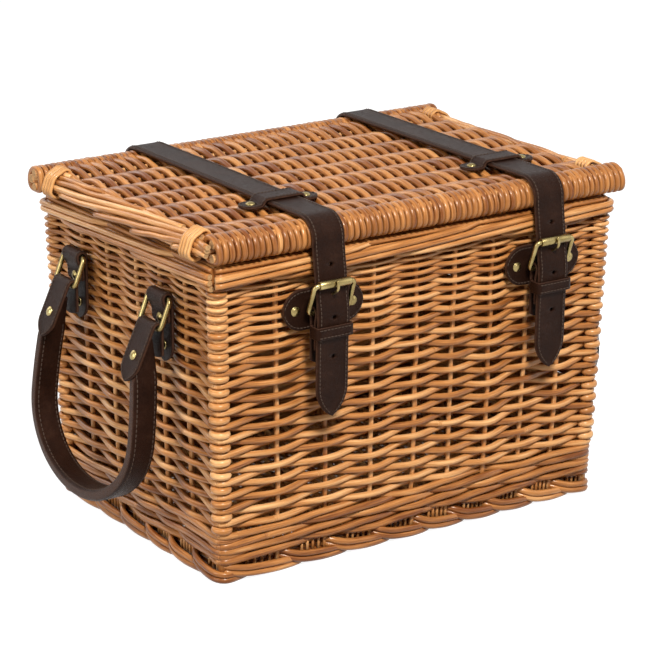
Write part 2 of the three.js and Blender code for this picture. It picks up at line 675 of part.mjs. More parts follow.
// The strap's loose end: down the front, behind the roller, over the heel bar and through the keeper.
function strapTail() {
  const keeperMiddle = HEEL_HEIGHT - KEEPER_DROP + KEEPER_WIDTH / 2;
  const path = new THREE.SplineCurve([
    new THREE.Vector2(STRAP_FRONT_Y, STRAP_END_HEIGHT),
    new THREE.Vector2((STRAP_FRONT_Y + STRAP_ROLLER_Y) / 2, (STRAP_END_HEIGHT + ROLLER_HEIGHT) / 2),
    new THREE.Vector2(STRAP_ROLLER_Y, ROLLER_HEIGHT),
    new THREE.Vector2((STRAP_ROLLER_Y + TAIL_HEEL_Y) / 2, HEEL_HEIGHT + BUCKLE_LENGTH / 2),
    new THREE.Vector2(TAIL_HEEL_Y, HEEL_HEIGHT),
    new THREE.Vector2((2 * TAIL_HEEL_Y + TAIL_LOW_Y) / 3, keeperMiddle),
    new THREE.Vector2(TAIL_LOW_Y, HEEL_HEIGHT - CHAPE_FRONT_DROP),
    new THREE.Vector2(TAIL_LOW_Y + TAIL_LEAN, TAIL_TIP_HEIGHT),
  ]);
  const strip = solid(alongX(ribbon(path, STRAP_THICK, 20, true), -STRAP_WIDTH / 2, STRAP_WIDTH / 2));
  const top = STRAP_END_HEIGHT + STRAP_THICK;
  const outline = pointedOutline(STRAP_WIDTH, top, TAIL_TIP_HEIGHT, TAIL_POINT);
  const near = 2 * TAIL_HEEL_Y;
  let tail = strip.intersect(solid(alongY(outline, near, 0, 5)));
  const low = HEEL_HEIGHT + PRONG_HOLE_RISE - PRONG_HOLE_LENGTH / 2;
  const half = PRONG_HOLE_WIDTH / 2;
  const slot = roundedRectangle(-half, low, half, low + PRONG_HOLE_LENGTH, half - 0.1);
  tail = tail.subtract(solid(alongY(slot, near, 0, 3)));
  for (const rise of STRAP_HOLE_RISES) {
    const hole = new THREE.Shape().absarc(0, HEEL_HEIGHT + rise, STRAP_HOLE_RADIUS, 0, 2 * Math.PI);
    tail = tail.subtract(solid(alongY(hole, near, 0)));
  }
  return tail;
}

// The leather plate that a buckle is riveted to the wall with: two round ears.
function backingPlate() {
  const height = HEEL_HEIGHT + PLATE_RISE;
  const radius = PLATE_HEIGHT / 2;
  const reach = PLATE_LENGTH / 2 - radius;
  const outline = stadium(new THREE.Vector2(-reach, height), new THREE.Vector2(reach, height), radius);
  let plate = solid(alongY(outline, PLATE_BACK - PLATE_THICK, PLATE_BACK));
  for (const side of [-1, 1]) {
    const place = new THREE.Vector3((side * PLATE_RIVET_SPAN) / 2, PLATE_BACK - PLATE_THICK, height);
    plate = plate.add(rivet(place, new THREE.Vector3(0, -1, 0)));
  }
  return plate;
}

// The leather strip folded round the buckle's heel bar, with a slot for the prong.
function chape() {
  const path = new THREE.Path();
  path.moveTo(CHAPE_BACK_Y, HEEL_HEIGHT - CHAPE_DROP);
  path.lineTo(CHAPE_BACK_Y, HEEL_HEIGHT);
  path.absarc(HEEL_Y, HEEL_HEIGHT, FOLD_RADIUS, 0, Math.PI);
  const foldFront = HEEL_Y - FOLD_RADIUS;
  const meet = HEEL_HEIGHT - KEEPER_DROP + KEEPER_WIDTH + 1;
  const ease = meet + CHAPE_EASE;
  path.bezierCurveTo(foldFront, ease, CHAPE_FRONT_Y, ease, CHAPE_FRONT_Y, meet);
  path.lineTo(CHAPE_FRONT_Y, HEEL_HEIGHT - CHAPE_FRONT_DROP);
  const edge = STRAP_WIDTH / 2 - CHAPE_INSET;
  const strip = solid(alongX(ribbon(path, CHAPE_THICK, 6), -edge, edge));
  const half = PRONG_EYE_WIDTH / 2 + GAP;
  const reach = PRONG_EYE_RADIUS + 2 * GAP;
  const low = HEEL_HEIGHT - reach;
  const slot = roundedRectangle(-half, low, half, HEEL_HEIGHT + 2 * reach, 0.5);
  return strip.subtract(solid(alongY(slot, HEEL_Y - 2 * reach, HEEL_Y + reach, 2)));
}

// The keeper goes round the tail and the chape's front layer, and its back lies between the chape's layers.
function keeper() {
  const half = STRAP_WIDTH / 2 + GAP;
  const back = CHAPE_FRONT_Y + CHAPE_THICK / 2 + GAP;
  const outline = roundedRectangle(
    -half - KEEPER_THICK,
    KEEPER_FRONT_Y - KEEPER_THICK,
    half + KEEPER_THICK,
    back + KEEPER_THICK,
    KEEPER_THICK,
  );
  outline.holes.push(roundedRectangle(-half, KEEPER_FRONT_Y, half, back, 0.5));
  const low = HEEL_HEIGHT - KEEPER_DROP;
  return alongZ(outline, low, low + KEEPER_WIDTH, 3);
}

function buckleFrame() {
  const across = new THREE.Vector3(1, 0, 0);
  const up = new THREE.Vector3(0, ROLLER_Y - HEEL_Y, BUCKLE_LENGTH);
  const length = up.length();
  const halfSpan = BUCKLE_INSIDE / 2 + BUCKLE_WIRE_RADIUS;
  const loop = wireLoop(across, up.normalize(), halfSpan, length, BUCKLE_CORNER, BUCKLE_WIRE_RADIUS);
  return loop.translate(0, HEEL_Y, HEEL_HEIGHT);
}

function roller() {
  const tube = sleeve(ROLLER_RADIUS, BUCKLE_WIRE_RADIUS + GAP, ROLLER_LENGTH);
  return tube.translate(0, ROLLER_Y, ROLLER_HEIGHT);
}

// The prong: an eye on the heel bar and a bent pin through the strap that rests on the roller.
function prong() {
  const eye = sleeve(PRONG_EYE_RADIUS, BUCKLE_WIRE_RADIUS + GAP, PRONG_EYE_WIDTH);
  eye.translate(0, HEEL_Y, HEEL_HEIGHT);
  const rest = ROLLER_Y - ROLLER_RADIUS - GAP - PRONG_RADIUS;
  const hole = HEEL_HEIGHT + PRONG_HOLE_RISE;
  const path = new THREE.CatmullRomCurve3([
    new THREE.Vector3(0, HEEL_Y, HEEL_HEIGHT + PRONG_EYE_RADIUS - PRONG_RADIUS / 2),
    new THREE.Vector3(0, HEEL_Y, hole - PRONG_BEND),
    new THREE.Vector3(0, (HEEL_Y + rest) / 2, hole + PRONG_BEND / 4),
    new THREE.Vector3(0, rest + PRONG_BEND / 4, ROLLER_HEIGHT - 1.3 * ROLLER_RADIUS),
    new THREE.Vector3(0, rest, ROLLER_HEIGHT),
    new THREE.Vector3(0, rest + PRONG_BEND / 8, ROLLER_HEIGHT + ROLLER_RADIUS),
  ]);
  const section = new THREE.Shape(circle(PRONG_RADIUS, 6));
  const pin = new THREE.ExtrudeGeometry(section, { steps: 10, extrudePath: path });
  return solid(eye).add(solid(pin));
}

// The strap's fixed end on the back wall, below the lid hinge.
function anchor() {
  const top = LID_BOTTOM - STRAP_THICK / 2 - GAP;
  const tip = top - ANCHOR_LENGTH;
  const onWall = sideFace(RIM_BOTTOM) + GAP + STRAP_THICK / 2;
  const path = new THREE.Path();
  path.moveTo(STRAP_REAR_Y, top);
  path.lineTo(STRAP_REAR_Y, RIM_BOTTOM - GAP);
  const bend = RIM_BOTTOM - ANCHOR_STEP / 2;
  path.bezierCurveTo(STRAP_REAR_Y, bend, onWall, bend, onWall, RIM_BOTTOM - ANCHOR_STEP);
  path.lineTo(onWall, tip);
  const strip = solid(alongX(ribbon(path, STRAP_THICK, 5), -STRAP_WIDTH / 2, STRAP_WIDTH / 2));
  const outline = pointedOutline(STRAP_WIDTH, top + 1, tip, ANCHOR_POINT);
  let strap = strip.intersect(solid(alongY(outline, 0, 2 * STRAP_REAR_Y)));
  for (const rise of ANCHOR_RIVET_RISES) {
    const place = new THREE.Vector3(0, onWall + STRAP_THICK / 2, tip + rise);
    strap = strap.add(rivet(place, new THREE.Vector3(0, 1, 0)));
  }
  return strap;
}

function straps() {
  for (const [side, share] of Object.entries(STRAP_SHARES)) {
    const group = new THREE.Group();
    group.position.x = share * BODY_WIDTH;
    part.add(group);
    addPiece(`${side}_strap_anchor`, anchor(), LEATHER, group);
    addPiece(`${side}_lid_strap`, lidStrap(), LEATHER, group);
    addPiece(`${side}_strap_loop`, strapLoop(), LEATHER, group).position.y = LID_FRONT + STRAP_LOOP_INSET;
    addPiece(`${side}_strap_tail`, strapTail(), LEATHER, group);
    addPiece(`${side}_backing_plate`, backingPlate(), LEATHER, group);
    addPiece(`${side}_chape`, chape(), LEATHER, group);
    addPiece(`${side}_keeper`, keeper(), LEATHER, group);
    addPiece(`${side}_buckle_frame`, buckleFrame(), BRASS, group);
    addPiece(`${side}_buckle_roller`, roller(), BRASS, group);
    addPiece(`${side}_buckle_prong`, prong(), BRASS, group);
  }
}

// End handles, drawn at the right end

const TAB_BACK_X = endFace(RING_HEIGHT) + GAP + TAB_THICK / 2;
const TAB_LOOP_RADIUS = RING_WIRE_RADIUS + RING_SLACK + TAB_THICK / 2;
const RING_BAR_X = TAB_BACK_X + TAB_LOOP_RADIUS;
const TILT = THREE.MathUtils.degToRad(RING_TILT);
const LOWER_BAR_X = RING_BAR_X + RING_LENGTH * Math.sin(TILT);
const LOWER_BAR_Z = RING_HEIGHT - RING_LENGTH * Math.cos(TILT);
const TONGUE_TIP_HEIGHT = LOWER_BAR_Z - TONGUE_LENGTH;

// The leather tab on the end wall, folded round the ring's upper bar.
function tab() {
  const flapX = TAB_BACK_X + TAB_THICK + GAP;
  const path = new THREE.Path();
  path.moveTo(TAB_BACK_X, TAB_TIP_HEIGHT);
  path.lineTo(TAB_BACK_X, RING_HEIGHT);
  path.absarc(RING_BAR_X, RING_HEIGHT, TAB_LOOP_RADIUS, Math.PI, 0, true);
  const outerX = RING_BAR_X + TAB_LOOP_RADIUS;
  const join = RING_HEIGHT - 0.6 * TAB_FLAP;
  path.bezierCurveTo(outerX, RING_HEIGHT - TAB_EASE, flapX, join + TAB_EASE, flapX, join);
  path.lineTo(flapX, RING_HEIGHT - TAB_FLAP);
  const strip = solid(alongY(ribbon(path, TAB_THICK, 7), -TAB_WIDTH / 2, TAB_WIDTH / 2));
  const top = RING_HEIGHT + 2 * TAB_LOOP_RADIUS;
  const outline = pointedOutline(TAB_WIDTH, top, TAB_TIP_HEIGHT, TAB_POINT);
  let piece = strip.intersect(solid(alongX(outline, 0, 2 * TAB_BACK_X)));
  const upper = RING_HEIGHT - TAB_FLAP + RIVET_RADIUS + 1;
  const lower = TAB_TIP_HEIGHT + TAB_POINT + 1;
  const out = new THREE.Vector3(1, 0, 0);
  piece = piece.add(rivet(new THREE.Vector3(flapX + TAB_THICK / 2, 0, upper), out));
  return piece.add(rivet(new THREE.Vector3(TAB_BACK_X + TAB_THICK / 2, 0, lower), out));
}

function ring() {
  const across = new THREE.Vector3(0, 1, 0);
  const down = new THREE.Vector3(Math.sin(TILT), 0, -Math.cos(TILT));
  const halfSpan = RING_INSIDE / 2 + RING_WIRE_RADIUS;
  const loop = wireLoop(across, down, halfSpan, RING_LENGTH, RING_CORNER, RING_WIRE_RADIUS);
  return loop.translate(RING_BAR_X, 0, RING_HEIGHT);
}

// The grip's outer edge at a height. It leans outwards below the tongues.
const gripLean = Math.tan(THREE.MathUtils.degToRad(GRIP_TILT));
const TONGUE_RADIUS = RING_WIRE_RADIUS + RING_SLACK + TONGUE_THICK / 2;
const gripOuter = (z) => LOWER_BAR_X + GRIP_REACH + (TONGUE_TIP_HEIGHT - z) * gripLean;

// The tongue: a strip folded round the ring's lower bar, riveted over the grip's end.
function tongue() {
  const seat = gripOuter(TONGUE_TIP_HEIGHT) + 2 * GAP + TONGUE_THICK / 2;
  const backX = LOWER_BAR_X - TONGUE_RADIUS;
  const leave = Math.PI / 7; // where the outer layer leaves the bar
  const path = new THREE.Path();
  path.moveTo(backX, LOWER_BAR_Z - TONGUE_BACK);
  path.lineTo(backX, LOWER_BAR_Z);
  path.absarc(LOWER_BAR_X, LOWER_BAR_Z, TONGUE_RADIUS, Math.PI, leave, true);
  path.lineTo(seat, TONGUE_TIP_HEIGHT);
  const strip = solid(alongY(ribbon(path, TONGUE_THICK, 7), -TONGUE_WIDTH / 2, TONGUE_WIDTH / 2));
  const top = LOWER_BAR_Z + 2 * TONGUE_RADIUS;
  const outline = pointedOutline(TONGUE_WIDTH, top, TONGUE_TIP_HEIGHT, TONGUE_POINT);
  const piece = strip.intersect(solid(alongX(outline, 0, 2 * seat)));
  const start = new THREE.Vector2(Math.cos(leave), Math.sin(leave)).multiplyScalar(TONGUE_RADIUS);
  start.add(new THREE.Vector2(LOWER_BAR_X, LOWER_BAR_Z));
  const slope = new THREE.Vector2(seat, TONGUE_TIP_HEIGHT).sub(start);
  const place = start.clone().addScaledVector(slope, 0.55);
  const out = new THREE.Vector2(-slope.y, slope.x).normalize();
  place.addScaledVector(out, TONGUE_THICK / 2);
  return piece.add(rivet(new THREE.Vector3(place.x, 0, place.y), new THREE.Vector3(out.x, 0, out.y)));
}

// The grip: a thick strap bent into a U, its ends tapered to lie inside the tongues.
function grip() {
  const half = HANDLE_SPACING / 2;
  const wide = half + GRIP_SPREAD;
  const lowest = LOWER_BAR_Z - GRIP_LENGTH;
  const bendStart = lowest + GRIP_BEND_RISE;
  const legTop = LOWER_BAR_Z - TONGUE_RADIUS - TONGUE_THICK - GRIP_THICK / 2;
  const leg = new THREE.QuadraticBezierCurve(
    new THREE.Vector2(half, legTop),
    new THREE.Vector2(wide, (legTop + bendStart) / 2),
    new THREE.Vector2(wide, bendStart),
  );
  const bend = new THREE.EllipseCurve(0, bendStart, wide, GRIP_BEND_RISE, 0, -Math.PI, true);
  const legPoints = leg.getPoints(6);
  const otherLeg = legPoints.map((p) => new THREE.Vector2(-p.x, p.y)).reverse();
  const points = [...legPoints, ...bend.getPoints(14).slice(1, -1), ...otherLeg];
  const h = GRIP_THICK / 2;
  const c = GRIP_THICK / 4;
  const section = [
    [-0.38, -h],
    [0.38, -h],
    [0.5, c - h],
    [0.5, h - c],
    [0.38, h],
    [-0.38, h],
    [-0.5, h - c],
    [-0.5, c - h],
  ].map(([x, y]) => new THREE.Vector2(x, y));
  const taper = (GRIP_REACH - TONGUE_THICK) / (LOWER_BAR_Z - TONGUE_TIP_HEIGHT);
  const stations = points.map((p, i) => {
    const before = points[Math.max(i - 1, 0)];
    const after = points[Math.min(i + 1, points.length - 1)];
    const along = after.clone().sub(before).normalize();
    const edge = gripOuter(Math.min(p.y, TONGUE_TIP_HEIGHT));
    const width = GRIP_WIDTH - Math.max(0, p.y - TONGUE_TIP_HEIGHT) * taper;
    const middle = edge - GRIP_WIDTH + width / 2;
    return (q) => new THREE.Vector3(middle + q.x * width, p.x + along.y * q.y, p.y - along.x * q.y);
  });
  return loft(section, stations);
}

function handles() {
  for (const [side, sx] of [["left", -1], ["right", 1]]) {
    const group = new THREE.Group();
    group.scale.x = sx;
    group.position.y = HANDLE_SHIFT;
    part.add(group);
    for (const [end, sy] of [["front", -1], ["rear", 1]]) {
      const y = (sy * HANDLE_SPACING) / 2;
      addPiece(`${side}_${end}_tab`, tab(), LEATHER, group).position.y = y;
      addPiece(`${side}_${end}_ring`, ring(), BRASS, group).position.y = y;
      addPiece(`${side}_${end}_tongue`, tongue(), LEATHER, group).position.y = y;
    }
    addPiece(`${side}_handle_grip`, grip(), LEATHER, group);
  }
}

body();
lid();
straps();
handles();

// The origin lies on the floor under the middle of the whole part.
const bounds = new THREE.Box3().setFromObject(part);
part.position.y = -(bounds.min.y + bounds.max.y) / 2;

export default part;
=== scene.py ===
"""A willow picnic hamper with leather straps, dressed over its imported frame."""
import math

import bpy
import numpy as np
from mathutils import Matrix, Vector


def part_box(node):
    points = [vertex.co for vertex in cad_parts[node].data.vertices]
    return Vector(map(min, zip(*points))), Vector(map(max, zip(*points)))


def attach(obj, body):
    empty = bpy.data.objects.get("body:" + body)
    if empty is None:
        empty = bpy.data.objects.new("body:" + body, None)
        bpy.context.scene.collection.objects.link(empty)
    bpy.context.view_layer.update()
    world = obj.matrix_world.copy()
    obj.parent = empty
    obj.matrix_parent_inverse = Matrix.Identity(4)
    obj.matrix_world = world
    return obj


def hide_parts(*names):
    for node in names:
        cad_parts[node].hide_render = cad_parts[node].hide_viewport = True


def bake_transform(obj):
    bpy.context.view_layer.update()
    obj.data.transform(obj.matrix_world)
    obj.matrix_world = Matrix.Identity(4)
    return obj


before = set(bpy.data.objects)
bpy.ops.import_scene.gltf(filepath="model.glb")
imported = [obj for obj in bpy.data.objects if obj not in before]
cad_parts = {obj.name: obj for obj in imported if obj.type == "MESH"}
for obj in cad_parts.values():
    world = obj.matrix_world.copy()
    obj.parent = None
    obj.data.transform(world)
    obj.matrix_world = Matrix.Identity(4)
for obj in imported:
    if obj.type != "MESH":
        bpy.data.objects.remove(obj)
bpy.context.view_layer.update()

rng = np.random.default_rng(596)
X, Y, Z = np.eye(3)
MM = 0.001

# Sizes of the woven body in millimetres, as in the part's source
HALF_WIDTH = 182.0
HALF_DEPTH = 123.0
LEAN = 0.029
STAKE_RADIUS = 2.2
STAKE_LOW, STAKE_HIGH = 5.0, 252.0
POST_RADIUS = 4.2
WEAVE_LOW, WEAVE_HIGH = 22.3, 249.7
ROWS_LOW, ROWS_HIGH = 44.0, 247.5  # rows outside these are left to the wale and the rim
ROW_PITCH = 6.0
ROW_CROWDING = 3.3  # how much closer the rows are at the rim
CROWDED_FROM = 150.0
WEAVER_REACH = 3.7  # weaver's middle from the wall's middle, at a stake
HIDDEN_REACH = 2.6  # the same on the back and right walls, woven closer
INSIDE_REACH = 3.0  # the same inside a post, and of a wale rod behind a stake
WEAVER_FALL = 1.2  # how far a weaver drops in front of a stake, and rises behind it
CORNER_REACH = 6.2  # weaver's middle from the corner post's middle
CORNER_TURN = 0.12  # share of a stake's span that turns the corner
WRAP_RADIUS = 2.45
WALE_RADIUS = 2.3
WALE_LEVELS = np.linspace(40.6, 18.6, 6)
BASE_LEVEL = 13.0
RIM_SPAN = 7.4  # stakes that a rod of the rim passes

# How much darker some rods are painted: painted shade in place of shadow
BEHIND_STAKE_PAINTED_SHADE = 0.5  # painted shade on a weaver where it runs behind a stake, in the gaps where shadow falls
LOW_PAINTED_SHADE = 0.55  # painted shade on the rods at the foot, darker towards the bottom
LID_PAINTED_SHADE = 0.5  # painted shade on the rods of the lid, for less light on the lid

# Lid
LID_HALF_WIDTH = 207.0
LID_FRONT = -143.5
LID_REAR = 145.5
LID_BOTTOM = 267.5
LID_TOP = 291.0
PANEL_TOP = 289.3
RAIL_DEPTH = 24.0
RAIL_ROUND = 8.0
RAIL_SHOULDER = 15.0
RAIL_RADIUS = 2.6  # rod wound round a rail
LID_TURNS = 34  # weavers on each side of the lid's middle
LID_PITCH = 186.8 / LID_TURNS  # from one of the lid's weavers to the next
LID_STICKS = 7
PANEL_FRONT, PANEL_REAR = LID_FRONT + RAIL_DEPTH, LID_REAR - RAIL_DEPTH

# Straps
STRAP_X = {"left": -0.264 * 2 * HALF_WIDTH, "right": 0.335 * 2 * HALF_WIDTH}
STRAP_HALF = 15.0
STRAP_THICK = 3.2
STRAP_LIFT = 1.9  # strap's middle above the lid's rails
STRAP_TOP = LID_TOP + STRAP_LIFT
STRAP_FRONT_Y = -145.4
STRAP_REAR_Y = 147.4
STRAP_WALL_Y = 138.15
STRAP_FOOT = 193.6  # lower end on the back wall
LOOP_Y = LID_FRONT + 69.5
HEEL = (-145.373, 218.0)
ROLLER = (-154.7, 242.5)
ROLLER_RADIUS = 3.4
ROLLER_STRAP_Y = -149.4
TAIL_HEEL_Y = -152.773
TAIL_LOW_Y = -150.973
PLATE_FRONT = -139.573
CHAPE_BACK = -141.473
CHAPE_FRONT = -147.473

# Handles
HANDLE_Y = 6.0
HANDLE_GAP = 2 * HALF_DEPTH * 0.561
RING_BAR = (200.283, 227.0)
LOWER_BAR = (209.648, 203.82)
TAB_BACK_X = 196.283
FLAP_X = TAB_BACK_X + 3.1
TONGUE_RADIUS, TONGUE_THICK = 3.9, 2.6
TONGUE_TIP = LOWER_BAR[1] - 41.8
GRIP_WIDTH, GRIP_THICK = 22.0, 9.0
GRIP_LEAN = math.tan(math.radians(6.5))

box_low, box_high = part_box("rim_border")
SHIFT = np.array([0.0, (box_low.y + box_high.y) * 500, 0.0])


# Paths

def unit(v):
    return v / np.maximum(np.linalg.norm(v, axis=-1, keepdims=True), 1e-12)


def directions(path, closed=False):
    """Which way a path runs at each of its points."""
    return unit(np.roll(path, -1, 0) - np.roll(path, 1, 0) if closed else np.gradient(path, axis=0))


def bezier(a, b, c, d):
    t = np.linspace(0, 1, 12)[:, None]
    a, b, c, d = (np.asarray(p, float) for p in (a, b, c, d))
    return a * (1 - t) ** 3 + 3 * b * t * (1 - t) ** 2 + 3 * c * t**2 * (1 - t) + d * t**3


def arc(centre, radius, start, end, count=12):
    turn = np.radians(np.linspace(start, end, count))
    return np.column_stack((centre[0] + radius * np.cos(turn), centre[1] + radius * np.sin(turn)))


def at(places, run, path):
    """Points of a path at some lengths along it."""
    return np.column_stack([np.interp(places, run, column) for column in path.T])


def lengths(path, closed=False):
    """Length along a path up to each of its points, in metres."""
    nodes = np.vstack((path, path[:1])) if closed else path
    gaps = np.linalg.norm(np.diff(nodes, axis=0), axis=1)
    return np.concatenate(([0.0], np.cumsum(gaps))) * MM


def resample(path, step):
    path = np.asarray(path, float)
    gaps = np.linalg.norm(np.diff(path[:, :3], axis=0), axis=1)
    run = np.concatenate(([0.0], np.cumsum(gaps)))
    keep = np.concatenate(([True], gaps > 1e-6))
    run, path = run[keep], path[keep]
    return at(np.linspace(0, run[-1], max(2, int(round(run[-1] / step)) + 1)), run, path)


def spline(points, step):
    """A smooth curve through the points, in even steps."""
    p = np.asarray(points, float)
    p = np.vstack((2 * p[0] - p[1], p, 2 * p[-1] - p[-2]))
    t = np.linspace(0, 1, 16, endpoint=False)[:, None]
    parts = []
    for a, b, c, d in zip(p, p[1:], p[2:], p[3:]):
        parts.append(0.5 * (2 * b + (c - a) * t + (2 * a - 5 * b + 4 * c - d) * t**2
                            + (3 * b - a - 3 * c + d) * t**3))
    parts.append(p[-2:-1])
    return resample(np.vstack(parts), step)


def smooth(path):
    """Rounds off the kinks of a closed path."""
    for _ in range(2):
        path = (np.roll(path, 1, 0) + 2 * path + np.roll(path, -1, 0)) / 4
    return path


def metres(x, y, z):
    return tuple((np.array([x, y, z], float) + SHIFT) * MM)


# Meshes

class Shape:
    """Faces gathered for one piece.

    Tone is a rod's own lightness, or how near leather is to its edge. Shade is painted shade:
    how much darker a rod is painted, in place of shadow.
    """

    def __init__(self):
        self.points, self.tones, self.shades, self.count = [], [], [], 0
        self.quads, self.quad_uvs, self.quad_finish = [], [], []
        self.caps, self.cap_finish = [], []

    def skin(self, rings, u, v, tone, closed=False, finish=0, end_finish=None, shade=0.0):
        """Adds a surface through rings of points, with flat ends unless it is closed."""
        rows, sides = rings.shape[:2]
        base = self.count
        self.points.append(rings.reshape(-1, 3))
        self.tones.append(np.broadcast_to(tone, (rows, sides)).reshape(-1))
        self.shades.append(np.broadcast_to(shade, (rows, sides)).reshape(-1))
        self.count += rows * sides
        i = np.arange(rows if closed else rows - 1)[:, None]
        j = np.arange(sides)[None, :]
        after, beside = (i + 1) % rows, (j + 1) % sides
        here, there = base + i * sides, base + after * sides
        quads = np.stack([here + j, here + beside, there + beside, there + j], -1)
        self.quads.append(quads.reshape(-1, 4))
        u0, u1, v0, v1 = np.broadcast_arrays(u[i], u[i + 1], v[j], v[j + 1])
        uvs = np.stack([np.stack(c, -1) for c in ((u0, v0), (u0, v1), (u1, v1), (u1, v0))], -2)
        self.quad_uvs.append(uvs.reshape(-1, 2))
        self.quad_finish.append(np.full(i.size * sides, finish))
        if not closed:
            end_finish = finish if end_finish is None else end_finish
            last = base + (rows - 1) * sides
            self.caps += [list(range(base + sides - 1, base - 1, -1)), list(range(last, last + sides))]
            self.cap_finish += [end_finish, end_finish]

    def make(self, name, *materials):
        mesh = bpy.data.meshes.new(name)
        points = (np.vstack(self.points) + SHIFT) * MM
        quads = np.vstack(self.quads)
        mesh.from_pydata(points, [], quads.tolist() + self.caps)
        finish = np.concatenate(self.quad_finish + [np.array(self.cap_finish, int)])
        mesh.polygons.foreach_set("material_index", finish.astype(np.int32))
        mesh.polygons.foreach_set("use_smooth", np.arange(len(finish)) < len(quads))
        uv = mesh.uv_layers.new(name="UVMap")
        cap_uv = [(points[k][0] + points[k][1], points[k][2]) for c in self.caps for k in c]
        all_uv = np.vstack(self.quad_uvs + ([np.array(cap_uv)] if cap_uv else []))
        uv.data.foreach_set("uv", all_uv.astype(np.float32).ravel())
        # The shade attribute holds painted shade.
        for key, values in (("tone", self.tones), ("shade", self.shades)):
            attribute = mesh.attributes.new(key, "FLOAT", "POINT")
            attribute.data.foreach_set("value", np.concatenate(values).astype(np.float32))
        mesh.validate()
        piece = bpy.data.objects.new(name, mesh)
        bpy.context.collection.objects.link(piece)
        for material in materials:
            mesh.materials.append(material)
        return piece


def dress(piece, body, slot, *nodes):
    """Puts a piece in the place of its nodes and on a body. The slot is not used."""
    if nodes:
        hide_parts(*nodes)
    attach(piece, body)


def tube(shape, path, radius, sides=8, up=Z, closed=False, finish=0, end_finish=None,
         tone=None, shade=0.0, tall=1.0, square=1.0):
    """A rod along a path. `up` is a direction that the path never runs along.

    Below 1, `square` flattens the sides of its section.
    """
    along = directions(path, closed)
    across = unit(np.cross(along, up))
    over = np.cross(along, across)
    turn = np.linspace(0, 2 * np.pi, sides, endpoint=False)
    radius, tall = (np.broadcast_to(v, len(path))[:, None, None] for v in (radius, tall))
    wide, high = (np.sign(part) * np.abs(part) ** square for part in (np.cos(turn), np.sin(turn)))
    circle = wide[None, :, None] * across[:, None, :] + tall * high[None, :, None] * over[:, None, :]
    rings = path[:, None, :] + radius * circle
    if tone is None:
        tone = rng.random()
    # `shade` is painted shade: how much darker the rod is painted.
    tone, shade = (np.reshape(values, (-1, 1)) for values in (tone, shade))
    v = np.linspace(0, 1, sides + 1)
    shape.skin(rings, lengths(path, closed), v, tone, closed, finish, end_finish, shade)


def section(half, thick, rounding, steps, shares, crown=0.0, power=1):
    """A leather strip's section, anticlockwise, with the share of each point that is edge."""
    points = []
    for corner, (sx, sy) in enumerate(((1, 1), (-1, 1), (-1, -1), (1, -1))):
        for turn in np.radians(90 * corner + np.linspace(0, 90, steps)):
            w = sx * (half - rounding) + rounding * math.cos(turn)
            n = sy * (thick / 2 - rounding) + rounding * math.sin(turn)
            points.append((w, n, abs(math.cos(turn)) ** power))
        if corner in (0, 2):
            for share in shares:
                n = sy * (thick / 2 + crown * (1 - share**2))
                points.append((sx * share * (half - rounding), n, 0.0))
    return np.array(points)


def band_section(half, thick):
    return section(half, thick, min(0.42 * thick, half * 0.9), 4, (0.72, 0.36, 0.0, -0.36, -0.72))


def band(shape, path, across, half, thick, closed=False):
    """A leather strip of a path, a direction across it and a half width along it."""
    normal = unit(np.cross(directions(path, closed), across))
    sections = np.array([band_section(h, thick) for h in half])
    rings = path[:, None, :] + sections[..., 0:1] * across + sections[..., 1:2] * normal[:, None, :]
    v = lengths(sections[np.argmax(half), :, :2], closed=True)
    shape.skin(rings, lengths(path, closed), v, sections[..., 2], closed)


def stitches(shape, line, normal, finish=1, pitch=3.3, length=2.3):
    """Threads laid in short stitches along a line on a surface."""
    radius = 0.44
    fine = resample(np.hstack((line, normal)), 0.4)
    places, faces = fine[:, :3], unit(fine[:, 3:])
    run = lengths(places) * 1000
    start = 0.6
    while start + length < run[-1]:
        s = start + length * np.array([0, 0.18, 0.5, 0.82, 1.0])
        rise = radius * np.array([-0.9, 0.15, 0.45, 0.15, -0.9])
        face = unit(at(s, run, faces))
        path = at(s, run, places) + rise[:, None] * face
        tube(shape, path, radius, 5, face.mean(0), finish=finish)
        start += pitch


def edge_stitches(shape, path, across, half, thick, side, inset=2.8, finish=1):
    """Two rows of stitches along a strip, on the face that `side` gives, following its outline."""
    keep = half > inset + 0.3
    normal = unit(np.cross(directions(path), across))[keep] * side
    for edge in (-1, 1):
        inner = edge * (half[keep] - inset)[:, None] * across
        stitches(shape, path[keep] + inner + normal * thick / 2, normal, finish)


def sewn_strip(name, path, across, half, thick, side, inset=2.8):
    shape = Shape()
    band(shape, path, across, half, thick)
    edge_stitches(shape, path, across, half, thick, side, inset)
    return shape.make(name, LEATHER, THREAD)


def dome(shape, place, direction):
    """A rivet head: a low dome with a rolled edge."""
    radius, height = 4.0, 2.0
    direction = unit(np.asarray(direction, float))
    a = unit(np.cross(Z if abs(direction[2]) < 0.9 else X, direction))
    b = np.cross(direction, a)
    profile = np.array([(1.0, -0.45), (1.03, 0.0), (1.0, 0.22), (0.9, 0.4), (0.84, 0.38),
                        (0.74, 0.58), (0.5, 0.84), (0.25, 0.97), (0.04, 1.0)])
    turn = np.linspace(0, 2 * np.pi, 20, endpoint=False)
    circle = np.cos(turn)[:, None] * a + np.sin(turn)[:, None] * b
    rings = (np.asarray(place, float) + radius * profile[:, 0, None, None] * circle
             + height * profile[:, 1, None, None] * direction)
    u = np.linspace(0, 2 * radius, len(profile)) * MM
    shape.skin(rings, u, np.linspace(0, 0.025, 21), 0.5)


def rounded(half, low, high, corner, count, step):
    """A rectangle with round corners, as a closed path in even steps."""
    low, high = low + corner, high - corner
    parts = []
    for u, v, start in ((1, low, -90), (1, high, 0), (-1, high, 90), (-1, low, 180)):
        parts.append(arc((u * (half - corner), v), corner, start, start + 90, count))
    return resample(np.vstack(parts + [parts[0][:1]]), step)[:-1]


